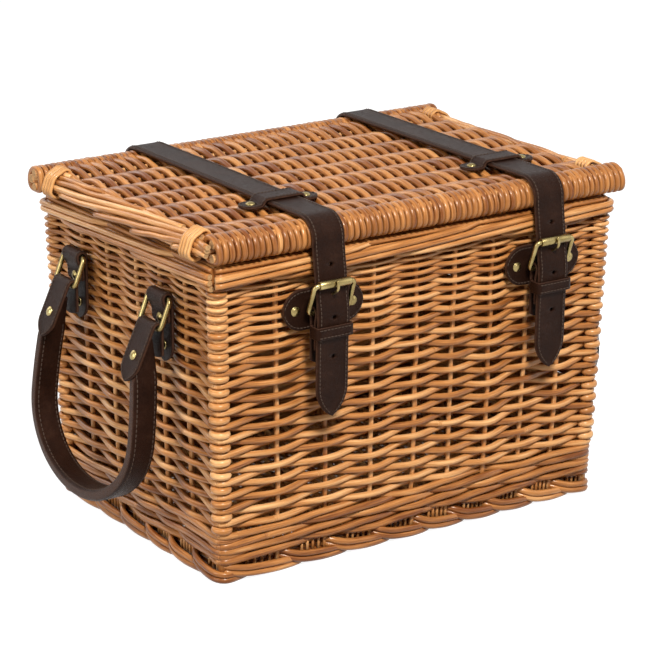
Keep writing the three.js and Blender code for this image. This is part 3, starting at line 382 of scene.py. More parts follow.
def wire_loop(shape, across, down, half, length, corner, origin, radius):
    """A rectangle of wire, its first bar through the origin."""
    flat = rounded(half, 0.0, length, corner, 9, 1.0)
    path = np.array(origin) + flat[:, :1] * across + flat[:, 1:] * down
    tube(shape, path, radius, 12, np.cross(across, down), closed=True)


# Materials

def new_material(name):
    material = bpy.data.materials.new(name)
    material.use_nodes = True
    tree = material.node_tree
    return material, tree, tree.nodes["Principled BSDF"]


def feed(tree, made, inputs):
    """Links a node's inputs to sockets, or sets their values."""
    for key, value in inputs.items():
        if isinstance(value, bpy.types.NodeSocket):
            tree.links.new(value, made.inputs[key])
        else:
            made.inputs[key].default_value = value


def node(tree, kind, inputs=None, **settings):
    made = tree.nodes.new(kind)
    for key, value in settings.items():
        setattr(made, key, value)
    feed(tree, made, inputs or {})
    return made


def math_node(tree, operation, a, b=0.0):
    return node(tree, "ShaderNodeMath", {0: a, 1: b}, operation=operation).outputs[0]


def ramp(tree, value, *stops):
    made = node(tree, "ShaderNodeValToRGB", {0: value})
    elements = made.color_ramp.elements
    while len(elements) < len(stops):
        elements.new(0.5)
    for element, (place, colour) in zip(elements, stops):
        element.position = place
        element.color = (*colour, 1.0)
    return made.outputs[0]


def spread(tree, value, low, high, to_low, to_high):
    inputs = {0: value, 1: low, 2: high, 3: to_low, 4: to_high}
    return node(tree, "ShaderNodeMapRange", inputs).outputs[0]


def noise(tree, vector, scale, detail=3.0, rough=0.55):
    inputs = {"Vector": vector, "Scale": scale, "Detail": detail, "Roughness": rough}
    return node(tree, "ShaderNodeTexNoise", inputs).outputs["Fac"]


def mix(tree, share, colour, other):
    inputs = {0: share, 6: colour, 7: (*other, 1.0)}
    return node(tree, "ShaderNodeMix", inputs, data_type="RGBA").outputs[2]


def bump(tree, height, strength, distance, **more):
    inputs = {"Height": height, "Strength": strength, "Distance": distance, **more}
    return node(tree, "ShaderNodeBump", inputs).outputs[0]


def surface(tree):
    return node(tree, "ShaderNodeUVMap", uv_map="UVMap").outputs[0]


def solid(tree):
    return node(tree, "ShaderNodeTexCoord").outputs["Object"]


def attribute(tree, name):
    return node(tree, "ShaderNodeAttribute", attribute_name=name).outputs["Fac"]


def rod_space(tree, along, around):
    """Coordinates that run along a rod and close round it, apart for each rod."""
    uv = node(tree, "ShaderNodeSeparateXYZ", {0: surface(tree)})
    tone = attribute(tree, "tone")
    turn = math_node(tree, "MULTIPLY", uv.outputs[1], 2 * math.pi)
    length = math_node(tree, "MULTIPLY", uv.outputs[0], along)
    first = math_node(tree, "ADD", length, math_node(tree, "MULTIPLY", tone, 41.0))
    second = math_node(tree, "MULTIPLY", math_node(tree, "COSINE", turn), around)
    third = math_node(tree, "MULTIPLY", math_node(tree, "SINE", turn), around)
    return node(tree, "ShaderNodeCombineXYZ", {0: first, 1: second, 2: third}).outputs[0], tone


def willow(name, dark, middle, light):
    material, tree, shader = new_material(name)
    long_space, tone = rod_space(tree, 22.0, 0.55)
    streak_space, _ = rod_space(tree, 34.0, 3.4)
    knot_space, _ = rod_space(tree, 60.0, 1.3)
    blotch = noise(tree, long_space, 1.0, 3.0)
    streak = noise(tree, streak_space, 1.0, 4.0, 0.6)
    knot = spread(tree, noise(tree, knot_space, 1.0, 2.0), 0.70, 0.78, 0.0, 0.55)
    # The rod's tone less its painted shade: the shade attribute paints rods darker in place of shadow.
    own = math_node(tree, "SUBTRACT", tone, attribute(tree, "shade"))
    shade = math_node(tree, "MULTIPLY", own, 0.34)
    shade = math_node(tree, "ADD", shade, math_node(tree, "MULTIPLY", blotch, 0.75))
    shade = math_node(tree, "ADD", shade, spread(tree, streak, 0.3, 0.7, -0.14, 0.14))
    colour = ramp(tree, shade, (0.2, dark), (0.52, middle), (0.84, light))
    feed(tree, shader, {
        "Base Color": mix(tree, knot, colour, (0.16, 0.07, 0.025)),
        "Roughness": spread(tree, streak, 0.25, 0.75, 0.26, 0.42),
        "Normal": bump(tree, streak, 0.35, 0.0005),
        "Coat Weight": 0.18,
        "Coat Roughness": 0.17,
        "Specular IOR Level": 0.32,
        "Specular Tint": (0.95, 0.74, 0.54, 1.0),
    })
    return material


def grained(name, space, scales, detail, stops, roughness, relief, **constants):
    """A material with a noise for its colour and another for its roughness and relief."""
    material, tree, shader = new_material(name)
    broad, fine = (noise(tree, space(tree), scale, detail) for scale in scales)
    feed(tree, shader, {
        "Base Color": ramp(tree, broad, *stops),
        "Roughness": spread(tree, fine, 0.3, 0.7, *roughness),
        "Normal": bump(tree, fine, *relief),
        **constants,
    })
    return material


def leather(name, dark, middle, light, edge):
    material, tree, shader = new_material(name)
    uv = surface(tree)
    cells = node(tree, "ShaderNodeTexVoronoi", {"Vector": uv, "Scale": 1150.0},
                 feature="DISTANCE_TO_EDGE")
    grain = spread(tree, cells.outputs["Distance"], 0.0, 0.28, 0.0, 1.0)
    cloud = noise(tree, uv, 55.0, 4.0)
    scuff = noise(tree, uv, 320.0, 5.0, 0.65)
    broad_part = math_node(tree, "MULTIPLY", cloud, 0.6)
    shade = math_node(tree, "ADD", broad_part, math_node(tree, "MULTIPLY", scuff, 0.4))
    colour = ramp(tree, shade, (0.34, dark), (0.52, middle), (0.7, light))
    near_edge = spread(tree, attribute(tree, "tone"), 0.55, 1.0, 0.0, 1.0)
    worn = math_node(tree, "MULTIPLY", near_edge, spread(tree, scuff, 0.35, 0.65, 0.35, 1.0))
    feed(tree, shader, {
        "Base Color": mix(tree, worn, colour, edge),
        "Roughness": spread(tree, scuff, 0.3, 0.7, 0.33, 0.5),
        "Normal": bump(tree, cloud, 0.3, 0.001, Normal=bump(tree, grain, 0.5, 0.0003)),
        "Specular IOR Level": 0.14,
        "Specular Tint": (0.55, 0.33, 0.25, 1.0),
    })
    return material


WILLOW = willow("honey_willow", (0.15, 0.039, 0.006), (0.44, 0.176, 0.047), (0.72, 0.405, 0.17))
PALE = willow("pale_willow", (0.34, 0.139, 0.039), (0.54, 0.264, 0.088), (0.66, 0.363, 0.143))
CUT = grained("cut_willow", surface, (700.0, 700.0), 4.0, (
    (0.3, (0.19, 0.09, 0.035)), (0.6, (0.5, 0.28, 0.11)), (0.8, (0.62, 0.38, 0.17)),
), (0.6, 0.8), (0.5, 0.0004))
LEATHER = leather("brown_leather", (0.007, 0.0026, 0.0015), (0.0135, 0.005, 0.0027),
                  (0.025, 0.0105, 0.006), (0.06, 0.028, 0.017))
BRASS = grained("antique_brass", solid, (70.0, 900.0), 3.0, (
    (0.3, (0.16, 0.115, 0.042)), (0.5, (0.29, 0.22, 0.088)), (0.72, (0.41, 0.325, 0.145)),
), (0.22, 0.36), (0.08, 0.0002), Metallic=1.0)
THREAD = grained("waxed_thread", surface, (900.0, 900.0), 2.0, (
    (0.3, (0.03, 0.018, 0.012)), (0.7, (0.08, 0.052, 0.037)),
), (0.5, 0.7), (0.4, 0.0002), **{"Specular IOR Level": 0.15})


# Woven body

LONG = np.array([-186, -133, -86.6, -41.7, 1.2, 38, 76, 113.5, 149.2, 186]) / 186
SHORT = np.array([-127, -82, -44, -7, 38, 81, 127]) / 127
# Each side's stakes, then the directions along it, out of it and to its first corner
SIDES = (
    (LONG, np.array([1, 0]), np.array([0, -1]), np.array([-1, -1])),
    (SHORT, np.array([0, 1]), np.array([1, 0]), np.array([1, -1])),
    (-LONG[::-1], np.array([-1, 0]), np.array([0, 1]), np.array([1, 1])),
    (-SHORT[::-1], np.array([0, -1]), np.array([-1, 0]), np.array([-1, 1])),
)
CORNERS = (0, 9, 15, 24)
STATIONS = 30
STAKES = np.arange(STATIONS)
IS_CORNER = np.isin(STAKES, CORNERS)


def around(c, depth, z):
    """A point at a stake count c round the basket, at a depth outward from the wall's middle."""
    c = c % STATIONS
    half = np.array([HALF_WIDTH + LEAN * z, HALF_DEPTH + LEAN * z])
    side = int(np.searchsorted(CORNERS, c, "right")) - 1
    stations, along, out, _ = SIDES[side]
    count = len(stations) - 1
    local = c - CORNERS[side]
    leaving = local >= count - CORNER_TURN
    if leaving or local < CORNER_TURN:
        before, after = SIDES[side + leaving - 1], SIDES[(side + leaving) % 4]
        share = (local - leaving * count + CORNER_TURN) / (2 * CORNER_TURN)
        turn = share * math.pi / 2
        direction = before[2] * math.cos(turn) + after[2] * math.sin(turn)
        point = after[3] * half + direction * depth
    else:
        index = min(int(local), count - 1)
        low = CORNER_TURN if index == 0 else 0.0
        high = 1 - CORNER_TURN if index == count - 1 else 1.0
        share = (local - index - low) / (high - low)
        f = stations[index] + (stations[index + 1] - stations[index]) * share
        point = along * f * half + out * (half + depth) * np.abs(out)
    if depth < 0:
        point = np.clip(point, -(half + depth), half + depth)
    return np.array([point[0], point[1], z])


def woven_path(depths, heights):
    """A rod round the basket, by its depth and height at each stake, and its stake counts."""
    depths, heights = (np.append(values, values[0]) for values in (depths, heights))
    c = np.linspace(0.0, STATIONS, STATIONS * 14 + 1)
    near = np.floor(c).astype(int)
    far = np.minimum(near + 1, STATIONS)
    ease = (1 - np.cos(np.pi * (c - near))) / 2
    bent = 0.55 * ease + 0.45 * (c - near)
    d = depths[near] + (depths[far] - depths[near]) * bent
    h = heights[near] + (heights[far] - heights[near]) * ease
    points = np.array([around(*values) for values in zip(c, d, h)])
    path = resample(np.column_stack((points, c)), 4.5)[:-1]
    return smooth(path[:, :3]), path[:, 3]


def rod_tones(c):
    """Tones of the rods that follow one another in a row."""
    cuts = np.sort(rng.uniform(0, STATIONS, 3))
    tones = rng.random(4)
    return tones[np.searchsorted(cuts, c)]


def row_heights():
    """Heights of the weavers, closer and closer towards the rim."""
    heights = [WEAVE_LOW]
    while heights[-1] < WEAVE_HIGH:
        crowding = max(0.0, (heights[-1] - CROWDED_FROM) / (WEAVE_HIGH - CROWDED_FROM))
        heights.append(heights[-1] + ROW_PITCH - ROW_CROWDING * crowding)
    heights = np.array(heights)
    return WEAVE_LOW + (heights - WEAVE_LOW) * (WEAVE_HIGH - WEAVE_LOW) / (heights[-1] - WEAVE_LOW)


def close_share(c, visible, hidden):
    """One value on the front and left walls, another on the back and right ones, woven closer."""
    first, last = CORNERS[1], CORNERS[3]
    places = (first + 0.05, first + 0.22, last - 0.22, last - 0.05)
    return visible + (hidden - visible) * np.interp(c, places, (0.0, 1.0, 1.0, 0.0))


def walls():
    weavers, stakes, posts = Shape(), Shape(), Shape()
    hidden = (STAKES > CORNERS[1]) & (STAKES < CORNERS[3])
    drift = np.where(IS_CORNER, 0.0, rng.normal(0, 0.7, STATIONS))
    for row, z in enumerate(row_heights()):
        if not ROWS_LOW <= z <= ROWS_HIGH:
            continue
        radius = np.interp(z, (150, 190, 215, 234, 246), (2.68, 2.4, 2.15, 1.85, 1.45))
        radius = radius * rng.uniform(0.95, 1.05)
        sign = np.where((STAKES + row) % 2, 1.0, -1.0)
        reach = np.where(hidden, HIDDEN_REACH, WEAVER_REACH) * sign
        reach = np.where(IS_CORNER, np.where(sign > 0, CORNER_REACH, -INSIDE_REACH), reach)
        fade = np.interp(z, (44, 70, 220, 246), (0.1, 1, 1, 0.1))
        fall = np.where(hidden, 0.0, WEAVER_FALL) * fade
        heights = z + fade * drift - fall * sign + rng.normal(0, 0.3, STATIONS)
        path, c = woven_path(reach, heights)
        inside = np.interp(c, np.arange(STATIONS + 1), np.append(sign, sign[0]) < 0)
        tall = close_share(c, 1.0 + 0.06 * inside, 1.5 + 0.25 * inside)
        # Painted shade: the weaver is painted darker where it runs behind a stake.
        tube(weavers, path, radius, 8, closed=True, tone=rod_tones(c),
             shade=BEHIND_STAKE_PAINTED_SHADE * inside, tall=tall)
        height = np.interp(z, (150, 215, 246), (3.0, 2.4, 1.6))
        for post in STAKES[IS_CORNER & (sign < 0)]:
            wrap(posts, post, z - fall[post] + rng.normal(0, 0.2), height)
    for c in STAKES:
        foot, head = around(c, 0, STAKE_LOW), around(c, 0, STAKE_HIGH)
        if IS_CORNER[c]:
            tube(posts, resample([foot, head], 20), POST_RADIUS, 10, X, end_finish=1)
            continue
        wander = rng.normal(0, 0.5, (14, 3)) * (1, 1, 0)
        path = resample([foot, head], 19)[:14] + wander
        path = spline(np.vstack((path, head)), 9)
        tube(stakes, path, STAKE_RADIUS * rng.uniform(0.92, 1.08), 7, X, end_finish=1)
    wale(stakes)
    dress(stakes.make("stakes_and_wale", WILLOW, CUT), "basket", "willow")
    dress(weavers.make("woven_walls", WILLOW, CUT), "basket", "willow",
          "front_wall", "back_wall", "left_wall", "right_wall")
    dress(posts.make("wrapped_posts", WILLOW, CUT), "basket", "willow",
          "front_left_post", "front_right_post", "back_left_post", "back_right_post")


def wrap(shape, c, z, height):
    """A short rod bent round a corner post."""
    post = around(c, 0.0, z)
    out = unit(around(c, 10.0, z) - post)
    beside = np.array([-out[1], out[0], 0])
    turn = np.radians(np.linspace(-128, 128, 25))
    lift = rng.normal(0, 0.25)
    path = (post + CORNER_REACH * (np.cos(turn)[:, None] * out + np.sin(turn)[:, None] * beside)
            + Z * (lift * np.sin(turn))[:, None])
    tube(shape, path, WRAP_RADIUS, 8, tall=height / WRAP_RADIUS, end_finish=1)


def wale(shape):
    """Thin rods in front of two stakes and behind one, rising as they go."""
    for row, z in enumerate(WALE_LEVELS):
        phase = (STAKES + 2 * row) % 3
        reach = np.where(phase == 0, -INSIDE_REACH, 4.1)
        reach = np.where(IS_CORNER, CORNER_REACH - 0.6, reach)
        slope = np.where(phase == 0, 0.0, np.where(phase == 1, -1.3, 1.3))
        heights = z + slope * np.where(IS_CORNER, 0, 1)
        heights = heights + rng.normal(0, 0.25, STATIONS)
        path, c = woven_path(reach, heights)
        radius = WALE_RADIUS * rng.uniform(0.93, 1.07)
        # Painted shade: the wale rods are painted darker towards the bottom.
        tube(shape, path, radius, 7, closed=True, tone=rod_tones(c), shade=LOW_PAINTED_SHADE,
             tall=close_share(c, 1.3, 1.85))


def hoop(shape, depth, z, radius, step, tone, shade=0.0):
    """A rod that runs once round the basket."""
    stations = np.linspace(0, STATIONS, 420, endpoint=False)
    path = np.array([around(c, depth, z) for c in stations])
    tube(shape, resample(path, step), radius, 7, tone=tone, shade=shade)


def foot():
    """A border of rod pairs that swing out and down, each over the end of the pair before it.

    The stakes' cut ends stand in the gap above each pair, before rods that run round inside.
    """
    shape = Shape()
    for z in (3.0, 7.6, 12.2, 16.4):
        # Painted shade: the rods that run round inside the foot are painted darker still.
        hoop(shape, -3.6, z, 2.8, 5.0, rng.random(), 2 * LOW_PAINTED_SHADE)
    places = np.array([-0.14, -0.02, 0.1, 0.34, 0.7, 1.0, 1.25, 1.42])
    depth = np.array([-3.0, 1.6, 5.0, 6.6, 6.6, 5.2, 3.0, -1.0])
    upper = np.array([15.4, 14.6, 13.0, 10.2, 8.6, 7.4, 6.6, 6.0])
    lower = np.array([11.0, 9.8, 7.9, 5.2, 3.5, 2.9, 2.8, 2.8])
    for c in range(STATIONS):
        tone = rng.random()
        begin = c + 0.12 + rng.normal(0, 0.02)
        for rise in (upper, lower):
            points = [around(begin + p, d, h) for p, d, h in zip(places, depth, rise)]
            radius = 2.75 * rng.uniform(0.95, 1.05)
            own = 0.6 * tone + 0.4 * rng.random()
            # Painted shade: the rod pairs at the foot are painted darker towards the bottom.
            tube(shape, spline(points, 3.0), radius, 8, end_finish=1, tone=own, shade=LOW_PAINTED_SHADE)
        for offset in (0.5, 0.62, 0.74, 0.86, 0.98):
            ends = [around(c + offset, 0.6, z) for z in (6.0, 20.0)]
            tube(shape, resample(ends, 7), 1.3, 6, X, end_finish=1)
    dress(shape.make("foot_plait", WILLOW, CUT), "basket", "willow", "foot_border")


def base():
    """A plain woven base inside the foot border."""
    shape = Shape()
    half_x, half_y = HALF_WIDTH - 4.5, HALF_DEPTH - 4.5
    sticks = np.linspace(-half_y + 6, half_y - 6, 10)
    for y in sticks:
        ends = [(-half_x, y, BASE_LEVEL), (half_x, y, BASE_LEVEL)]
        tube(shape, resample(ends, 20), 2.2, 7, end_finish=1)
    for index, x in enumerate(np.linspace(-half_x + 2.4, half_x - 2.4, 74)):
        sign = np.where((np.arange(len(sticks)) + index) % 2, -1.0, 1.0)
        points = [(x, -half_y, BASE_LEVEL)]
        points += [(x + rng.normal(0, 0.3), y, BASE_LEVEL + 2.7 * s) for y, s in zip(sticks, sign)]
        points += [(x, half_y, BASE_LEVEL)]
        tube(shape, spline(points, 5.0), 2.6, 6, X, end_finish=1)
    dress(shape.make("woven_base", WILLOW, CUT), "basket", "willow", "base_panel")


def rim():
    """A rolled border: long rods that come out low on the wall, rise along it and end under the lid.

    At the front left corner the end wall's rods are cut off and the front's begin.
    """
    shape = Shape()
    for start in np.arange(-RIM_SPAN + 0.5, STATIONS - 0.4, 2.6):
        start = start + rng.normal(0, 0.06)
        first, last = max(start, 0.02), min(start + RIM_SPAN, STATIONS - 0.05)
        if last - first < 0.5:
            continue
        c = np.linspace(first, last, max(12, int((last - first) * 16)))
        share = (c - start) / RIM_SPAN
        depth = np.interp(share, (0, 0.04, 0.1, 0.5, 0.9, 1.0), (1.0, 6.0, 8.6, 9.4, 8.6, 0.5))
        z = 248.3 + 14.6 * share + 0.3 * np.sin(9 * share + start)
        points = np.array([around(*values) for values in zip(c, depth, z)])
        tube(shape, resample(points, 5.0), 2.5 * rng.uniform(0.96, 1.03), 9, end_finish=1)
    within = ((253.0, 3.6), (257.8, 3.8), (262.6, 3.6), (263.2, -0.5), (263.2, -5.0),
              (258.5, -5.2), (253.6, -5.2))
    for z, depth in within:
        hoop(shape, depth, z, 2.5, 6.0, 0.2 * rng.random())
    dress(shape.make("rim_rods", WILLOW, CUT), "basket", "willow", "rim_border")


# Lid

def rail_section(outer, inward):
    """The line of a rod's middle round a rail in y and z.

    The outer upper shoulder is rounder than the other corners.
    """
    inset = RAIL_RADIUS
    u0, u1, z0, z1 = inset, RAIL_DEPTH - inset, LID_BOTTOM + inset, LID_TOP - inset
    r, s = RAIL_ROUND - inset, RAIL_SHOULDER - inset
    flat = np.vstack((arc((u1 - r, z0 + r), r, -90, 0, 7), arc((u1 - r, z1 - r), r, 0, 90, 7),
                      arc((u0 + s, z1 - s), s, 90, 180, 11), arc((u0 + r, z0 + r), r, 180, 270, 7)))
    return np.column_stack((outer + inward * flat[:, 0], flat[:, 1]))


def rail(name, node_name, outer, inward, first, last):
    """A rail: sticks with rods wound round them side by side, from the first turn to the last."""
    shape = Shape()
    around_rail = rail_section(outer, inward)
    centre = around_rail.mean(0)
    for index in range(first, last + 1):
        lean = rng.normal(0, 0.4)
        flat = centre + (around_rail - centre) * (1 + rng.normal(0, 0.008))
        tilt = lean * (flat[:, 1] - centre[1]) / 10
        path = np.column_stack((index * LID_PITCH + rng.normal(0, 0.12) + tilt, flat))
        # Painted shade: the rail's rods are painted darker, for less light on the lid.
        tube(shape, path, RAIL_RADIUS * rng.uniform(0.9, 0.96), 12, X, closed=True,
             tone=0.2 + 0.55 * rng.random(), shade=LID_PAINTED_SHADE, square=0.72)
    middle = outer + inward * RAIL_DEPTH / 2
    over = RAIL_RADIUS + 0.5
    left, right = first * LID_PITCH - over, last * LID_PITCH + over
    for offset, z, radius in ((-2.6, 284.4, 3.6), (3.0, 279.0, 3.7), (-2.4, 273.2, 3.5)):
        ends = [(left, middle + offset, z), (right, middle + offset, z)]
        tube(shape, resample(ends, 30), radius, 9, end_finish=1)
    dress(shape.make(name, WILLOW, CUT), "lid", "willow", node_name)


def lid_weave():
    shape = Shape()
    sticks = np.linspace(PANEL_FRONT + 16.0, PANEL_REAR - 16.0, LID_STICKS)
    middle = PANEL_TOP - 6.7
    half = LID_TURNS * LID_PITCH
    for y in sticks:
        ends = [(-half - 5, y, middle), (half + 5, y, middle)]
        tube(shape, resample(ends, 20), 2.1, 8, end_finish=1)
    on_rail, at_rail = LID_TOP - 3.6, LID_TOP - 5.2
    for index in range(-LID_TURNS, LID_TURNS + 1):
        x = index * LID_PITCH
        sign = np.where((np.arange(LID_STICKS) + index) % 2, -1.0, 1.0)
        points = [(x, PANEL_FRONT - 9, on_rail), (x, PANEL_FRONT - 1, at_rail)]
        for y, s in zip(sticks, sign):
            points.append((x + rng.normal(0, 0.3), y + rng.normal(0, 0.6), middle + 3.8 * s))
        points += [(x, PANEL_REAR + 1, at_rail), (x, PANEL_REAR + 9, on_rail)]
        radius = 2.95 * rng.uniform(0.96, 1.05)
        # Painted shade: the lid's weavers are painted darker, for less light on the lid.
        tube(shape, spline(points, 3.0), radius, 8, X, shade=LID_PAINTED_SHADE)
    dress(shape.make("lid_weave", WILLOW, CUT), "lid", "willow", "lid_panel")


EDGE_INNER = np.array([LID_HALF_WIDTH - 16.5, PANEL_TOP - 3.7])
EDGE_OUTER = EDGE_INNER + (10.0, -11.0)
EDGE_ACROSS = EDGE_OUTER - EDGE_INNER
EDGE_OUT = unit(np.array([-EDGE_ACROSS[1], EDGE_ACROSS[0]]))
EDGE_SLANT = 1.15  # how much of the edge's width a rod crosses along the lid


def lid_edges():
    """Rods along the lid's two ends, slanting up from back to front, and their bindings."""
    for side, sx in (("left", -1), ("right", 1)):
        shape = Shape()
        for first in np.arange(0.08, 2.2, 0.285):
            begin = max(0.0, (first - 1.06) / EDGE_SLANT)
            end = min(1.0, (first + 0.06) / EDGE_SLANT)
            t = np.linspace(begin, end, 7)
            share = first - EDGE_SLANT * t + rng.normal(0, 0.025, 7)
            lift = 1.1 + 2.4 * np.sin(np.pi * np.clip(share, 0, 1)) + rng.normal(0, 0.2, 7)
            share = share + 0.24 * np.sin(np.pi * t) * np.clip(share, 0, 1)
            if begin > 0:
                lift[0] -= 1.2
            if end < 1:
                lift[-1] -= 2.6
            places = EDGE_INNER + share[:, None] * EDGE_ACROSS + lift[:, None] * EDGE_OUT
            y = PANEL_REAR + 6 + (PANEL_FRONT - 2 - PANEL_REAR) * t
            points = np.column_stack((places[:, 0], y, places[:, 1]))
            if sx < 0 and end == 1 and share[-1] > 0.15:
                x, low = places[-1]
                points = np.vstack((points, (max(x, 199.4), PANEL_FRONT - 8, low),
                                    (max(x, 200.4), LID_FRONT + 5 + 4 * share[-1], low)))
            path = spline(points * (sx, 1, 1), 5.0)
            tube(shape, path, 2.4 * rng.uniform(0.94, 1.06), 8, end_finish=1)
        for share in (0.05, 0.35, 0.65, 0.95):
            x, z = EDGE_INNER + share * EDGE_ACROSS - 1.6 * EDGE_OUT
            ends = [(sx * x, PANEL_FRONT - 4, z), (sx * x, PANEL_REAR + 6, z)]
            tube(shape, resample(ends, 20), 2.3, 7, end_finish=1)
        dress(shape.make(f"lid_{side}_rods", WILLOW, CUT), "lid", "willow", f"lid_{side}_edge")
        binding(f"lid_front_{side}", PANEL_FRONT + 1.6, sx)
        binding(f"lid_rear_{side}", PANEL_REAR - 19.2, sx)


def binding(name, start, sx):
    """Split willow wound round the edge rods."""
    shape = Shape()
    radius = 5.5
    angle = math.degrees(math.atan2(EDGE_ACROSS[1], EDGE_ACROSS[0]))
    oval = np.vstack((arc(EDGE_OUTER, radius, angle - 90, angle + 90, 14),
                      arc(EDGE_INNER, radius, angle + 90, angle + 270, 14)))
    oval = resample(np.vstack((oval, oval[:1])), 1.5)[:-1]
    share = np.clip((oval - EDGE_INNER) @ EDGE_ACROSS / (EDGE_ACROSS @ EDGE_ACROSS), 0, 1)
    outside = (oval - EDGE_INNER) @ EDGE_OUT > 0
    bulge = np.where(outside, 2.4 * np.sin(np.pi * share), 0.0)
    oval = oval + bulge[:, None] * EDGE_OUT
    turns = np.vstack([oval] * 4 + [oval[:6]])
    y = start + np.linspace(0, 17.6, len(turns))
    path = np.column_stack((sx * turns[:, 0], y, turns[:, 1]))
    tube(shape, resample(path, 2.0), 1.4, 8, Y, end_finish=1, tall=1.35)
    dress(shape.make(f"{name}_wrap", PALE, CUT), "lid", "pale_willow", f"{name}_binding")


# Leather straps

def pointed(path, half, point, start_point=0.0):
    """Half widths along a strip with a rounded point of a length at its end and at its start."""
    run = lengths(path) * 1000
    widths = np.full(len(run), half)
    for distance, length in ((run[-1] - run, point), (run, start_point)):
        if length:
            share = 1 - np.clip(1 - distance / length, 0, 1) ** 1.9
            widths = np.minimum(widths, half * np.clip(share, 0.0004, 1) ** 0.72)
    return widths


def round_ended(distance, radius, straight):
    """Half widths of a strip's round ends, by the distance from its middle."""
    return np.sqrt(np.clip(radius**2 - np.clip(distance - straight, 0, None) ** 2, 0.02, None))


def fine_ends(path, step, ends=6.0):
    """Even steps along a path, with close ones at its two ends."""
    path = resample(path, 0.5)
    run = lengths(path) * 1000
    total = run[-1]
    middle = np.linspace(ends, total - ends, max(2, int((total - 2 * ends) / step)))
    tip = ends * np.linspace(0, 1, 9)[:-1] ** 1.6
    return at(np.concatenate((tip, middle, (total - tip)[::-1])), run, path)


def flat_yz(x, points):
    points = np.asarray(points, float)
    return np.column_stack((np.full(len(points), x), points))


def outward(path, across, inside):
    """Which face of a strip looks away from a place: 1 or -1."""
    middle = len(path) // 2
    along = unit(path[middle + 1] - path[middle - 1])
    return 1 if np.cross(along, across) @ (path[middle] - inside) > 0 else -1


def cut_away(piece):
    """Takes the solid that was added last away from a piece."""
    cutter = bpy.context.object
    cut = piece.modifiers.new("cut", "BOOLEAN")
    cut.operation = "DIFFERENCE"
    cut.solver = "EXACT"
    cut.object = cutter
    bpy.context.view_layer.objects.active = piece
    bpy.ops.object.modifier_apply(modifier=cut.name)
    bpy.data.objects.remove(cutter)


def straps():
    rivets, lid_rivets = Shape(), Shape()
    for side, x in STRAP_X.items():
        strap(side, x)
        strap_tail(side, x)
        loop(side, x, lid_rivets)
        buckle_leather(side, x, rivets)
        buckle(side, x)
        for rise in (14, 31):
            dome(rivets, (x, STRAP_WALL_Y + STRAP_THICK / 2, STRAP_FOOT + rise), Y)
    handles(rivets)
    dress(rivets.make("wall_rivets", BRASS), "basket", "brass")
    dress(lid_rivets.make("lid_rivets", BRASS), "lid", "brass")


def strap(side, x):
    """The strap from its loop over the lid and down the back wall."""
    bend = RAIL_SHOULDER + STRAP_LIFT
    line = np.vstack((
        [(STRAP_WALL_Y, STRAP_FOOT), (STRAP_WALL_Y, 230)],
        bezier((STRAP_WALL_Y, 230), (STRAP_WALL_Y, 240), (STRAP_REAR_Y, 240), (STRAP_REAR_Y, 249.7)),
        [(STRAP_REAR_Y, LID_BOTTOM)],
        arc((STRAP_REAR_Y - bend, STRAP_TOP - bend), bend, 0, 90, 20),
        [(LOOP_Y, STRAP_TOP)],
    ))
    path = fine_ends(flat_yz(x, line)[::-1], 2.5)
    half = pointed(path, STRAP_HALF, 14)
    piece = sewn_strip(f"{side}_strap", path, X, half, STRAP_THICK, outward(path, X, (x, 0, 200)))
    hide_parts(f"{side}_lid_strap", f"{side}_strap_anchor")
    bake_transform(piece)


def strap_tail(side, x):
    """The strap from its loop over the front rail and through the buckle, with three holes."""
    bend = RAIL_SHOULDER + STRAP_LIFT
    tail = spline([
        (STRAP_FRONT_Y, 272.5),
        ((STRAP_FRONT_Y + ROLLER_STRAP_Y) / 2, 257.5),
        (ROLLER_STRAP_Y, ROLLER[1]),
        ((ROLLER_STRAP_Y + TAIL_HEEL_Y) / 2, 230.25),
        (TAIL_HEEL_Y, HEEL[1]),
        ((2 * TAIL_HEEL_Y + TAIL_LOW_Y) / 3, 203),
        (TAIL_LOW_Y, 188),
        (TAIL_LOW_Y + 1, 132),
    ], 1.0)
    fore = arc((STRAP_FRONT_Y + bend, STRAP_TOP - bend), bend, 90, 180, 20)
    path = fine_ends(flat_yz(x, np.vstack(([(LOOP_Y, STRAP_TOP)], fore, tail))), 2.0)
    half = pointed(path, STRAP_HALF, 24)
    shape, sewn = Shape(), Shape()
    band(shape, path, X, half, STRAP_THICK)
    edge_stitches(sewn, path, X, half, STRAP_THICK, outward(path, X, (x, 0, 200)), finish=0)
    piece = shape.make(f"{side}_strap_end", LEATHER)
    for z in (256.5, 214.5, 182.0):
        bpy.ops.mesh.primitive_cylinder_add(vertices=20, radius=0.0017, depth=0.03,
                                            location=metres(x, STRAP_FRONT_Y, z),
                                            rotation=(math.pi / 2, 0, 0))
        cut_away(piece)
    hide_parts(f"{side}_strap_tail")
    for part in (piece, sewn.make(f"{side}_strap_end_thread", THREAD)):
        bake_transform(part)


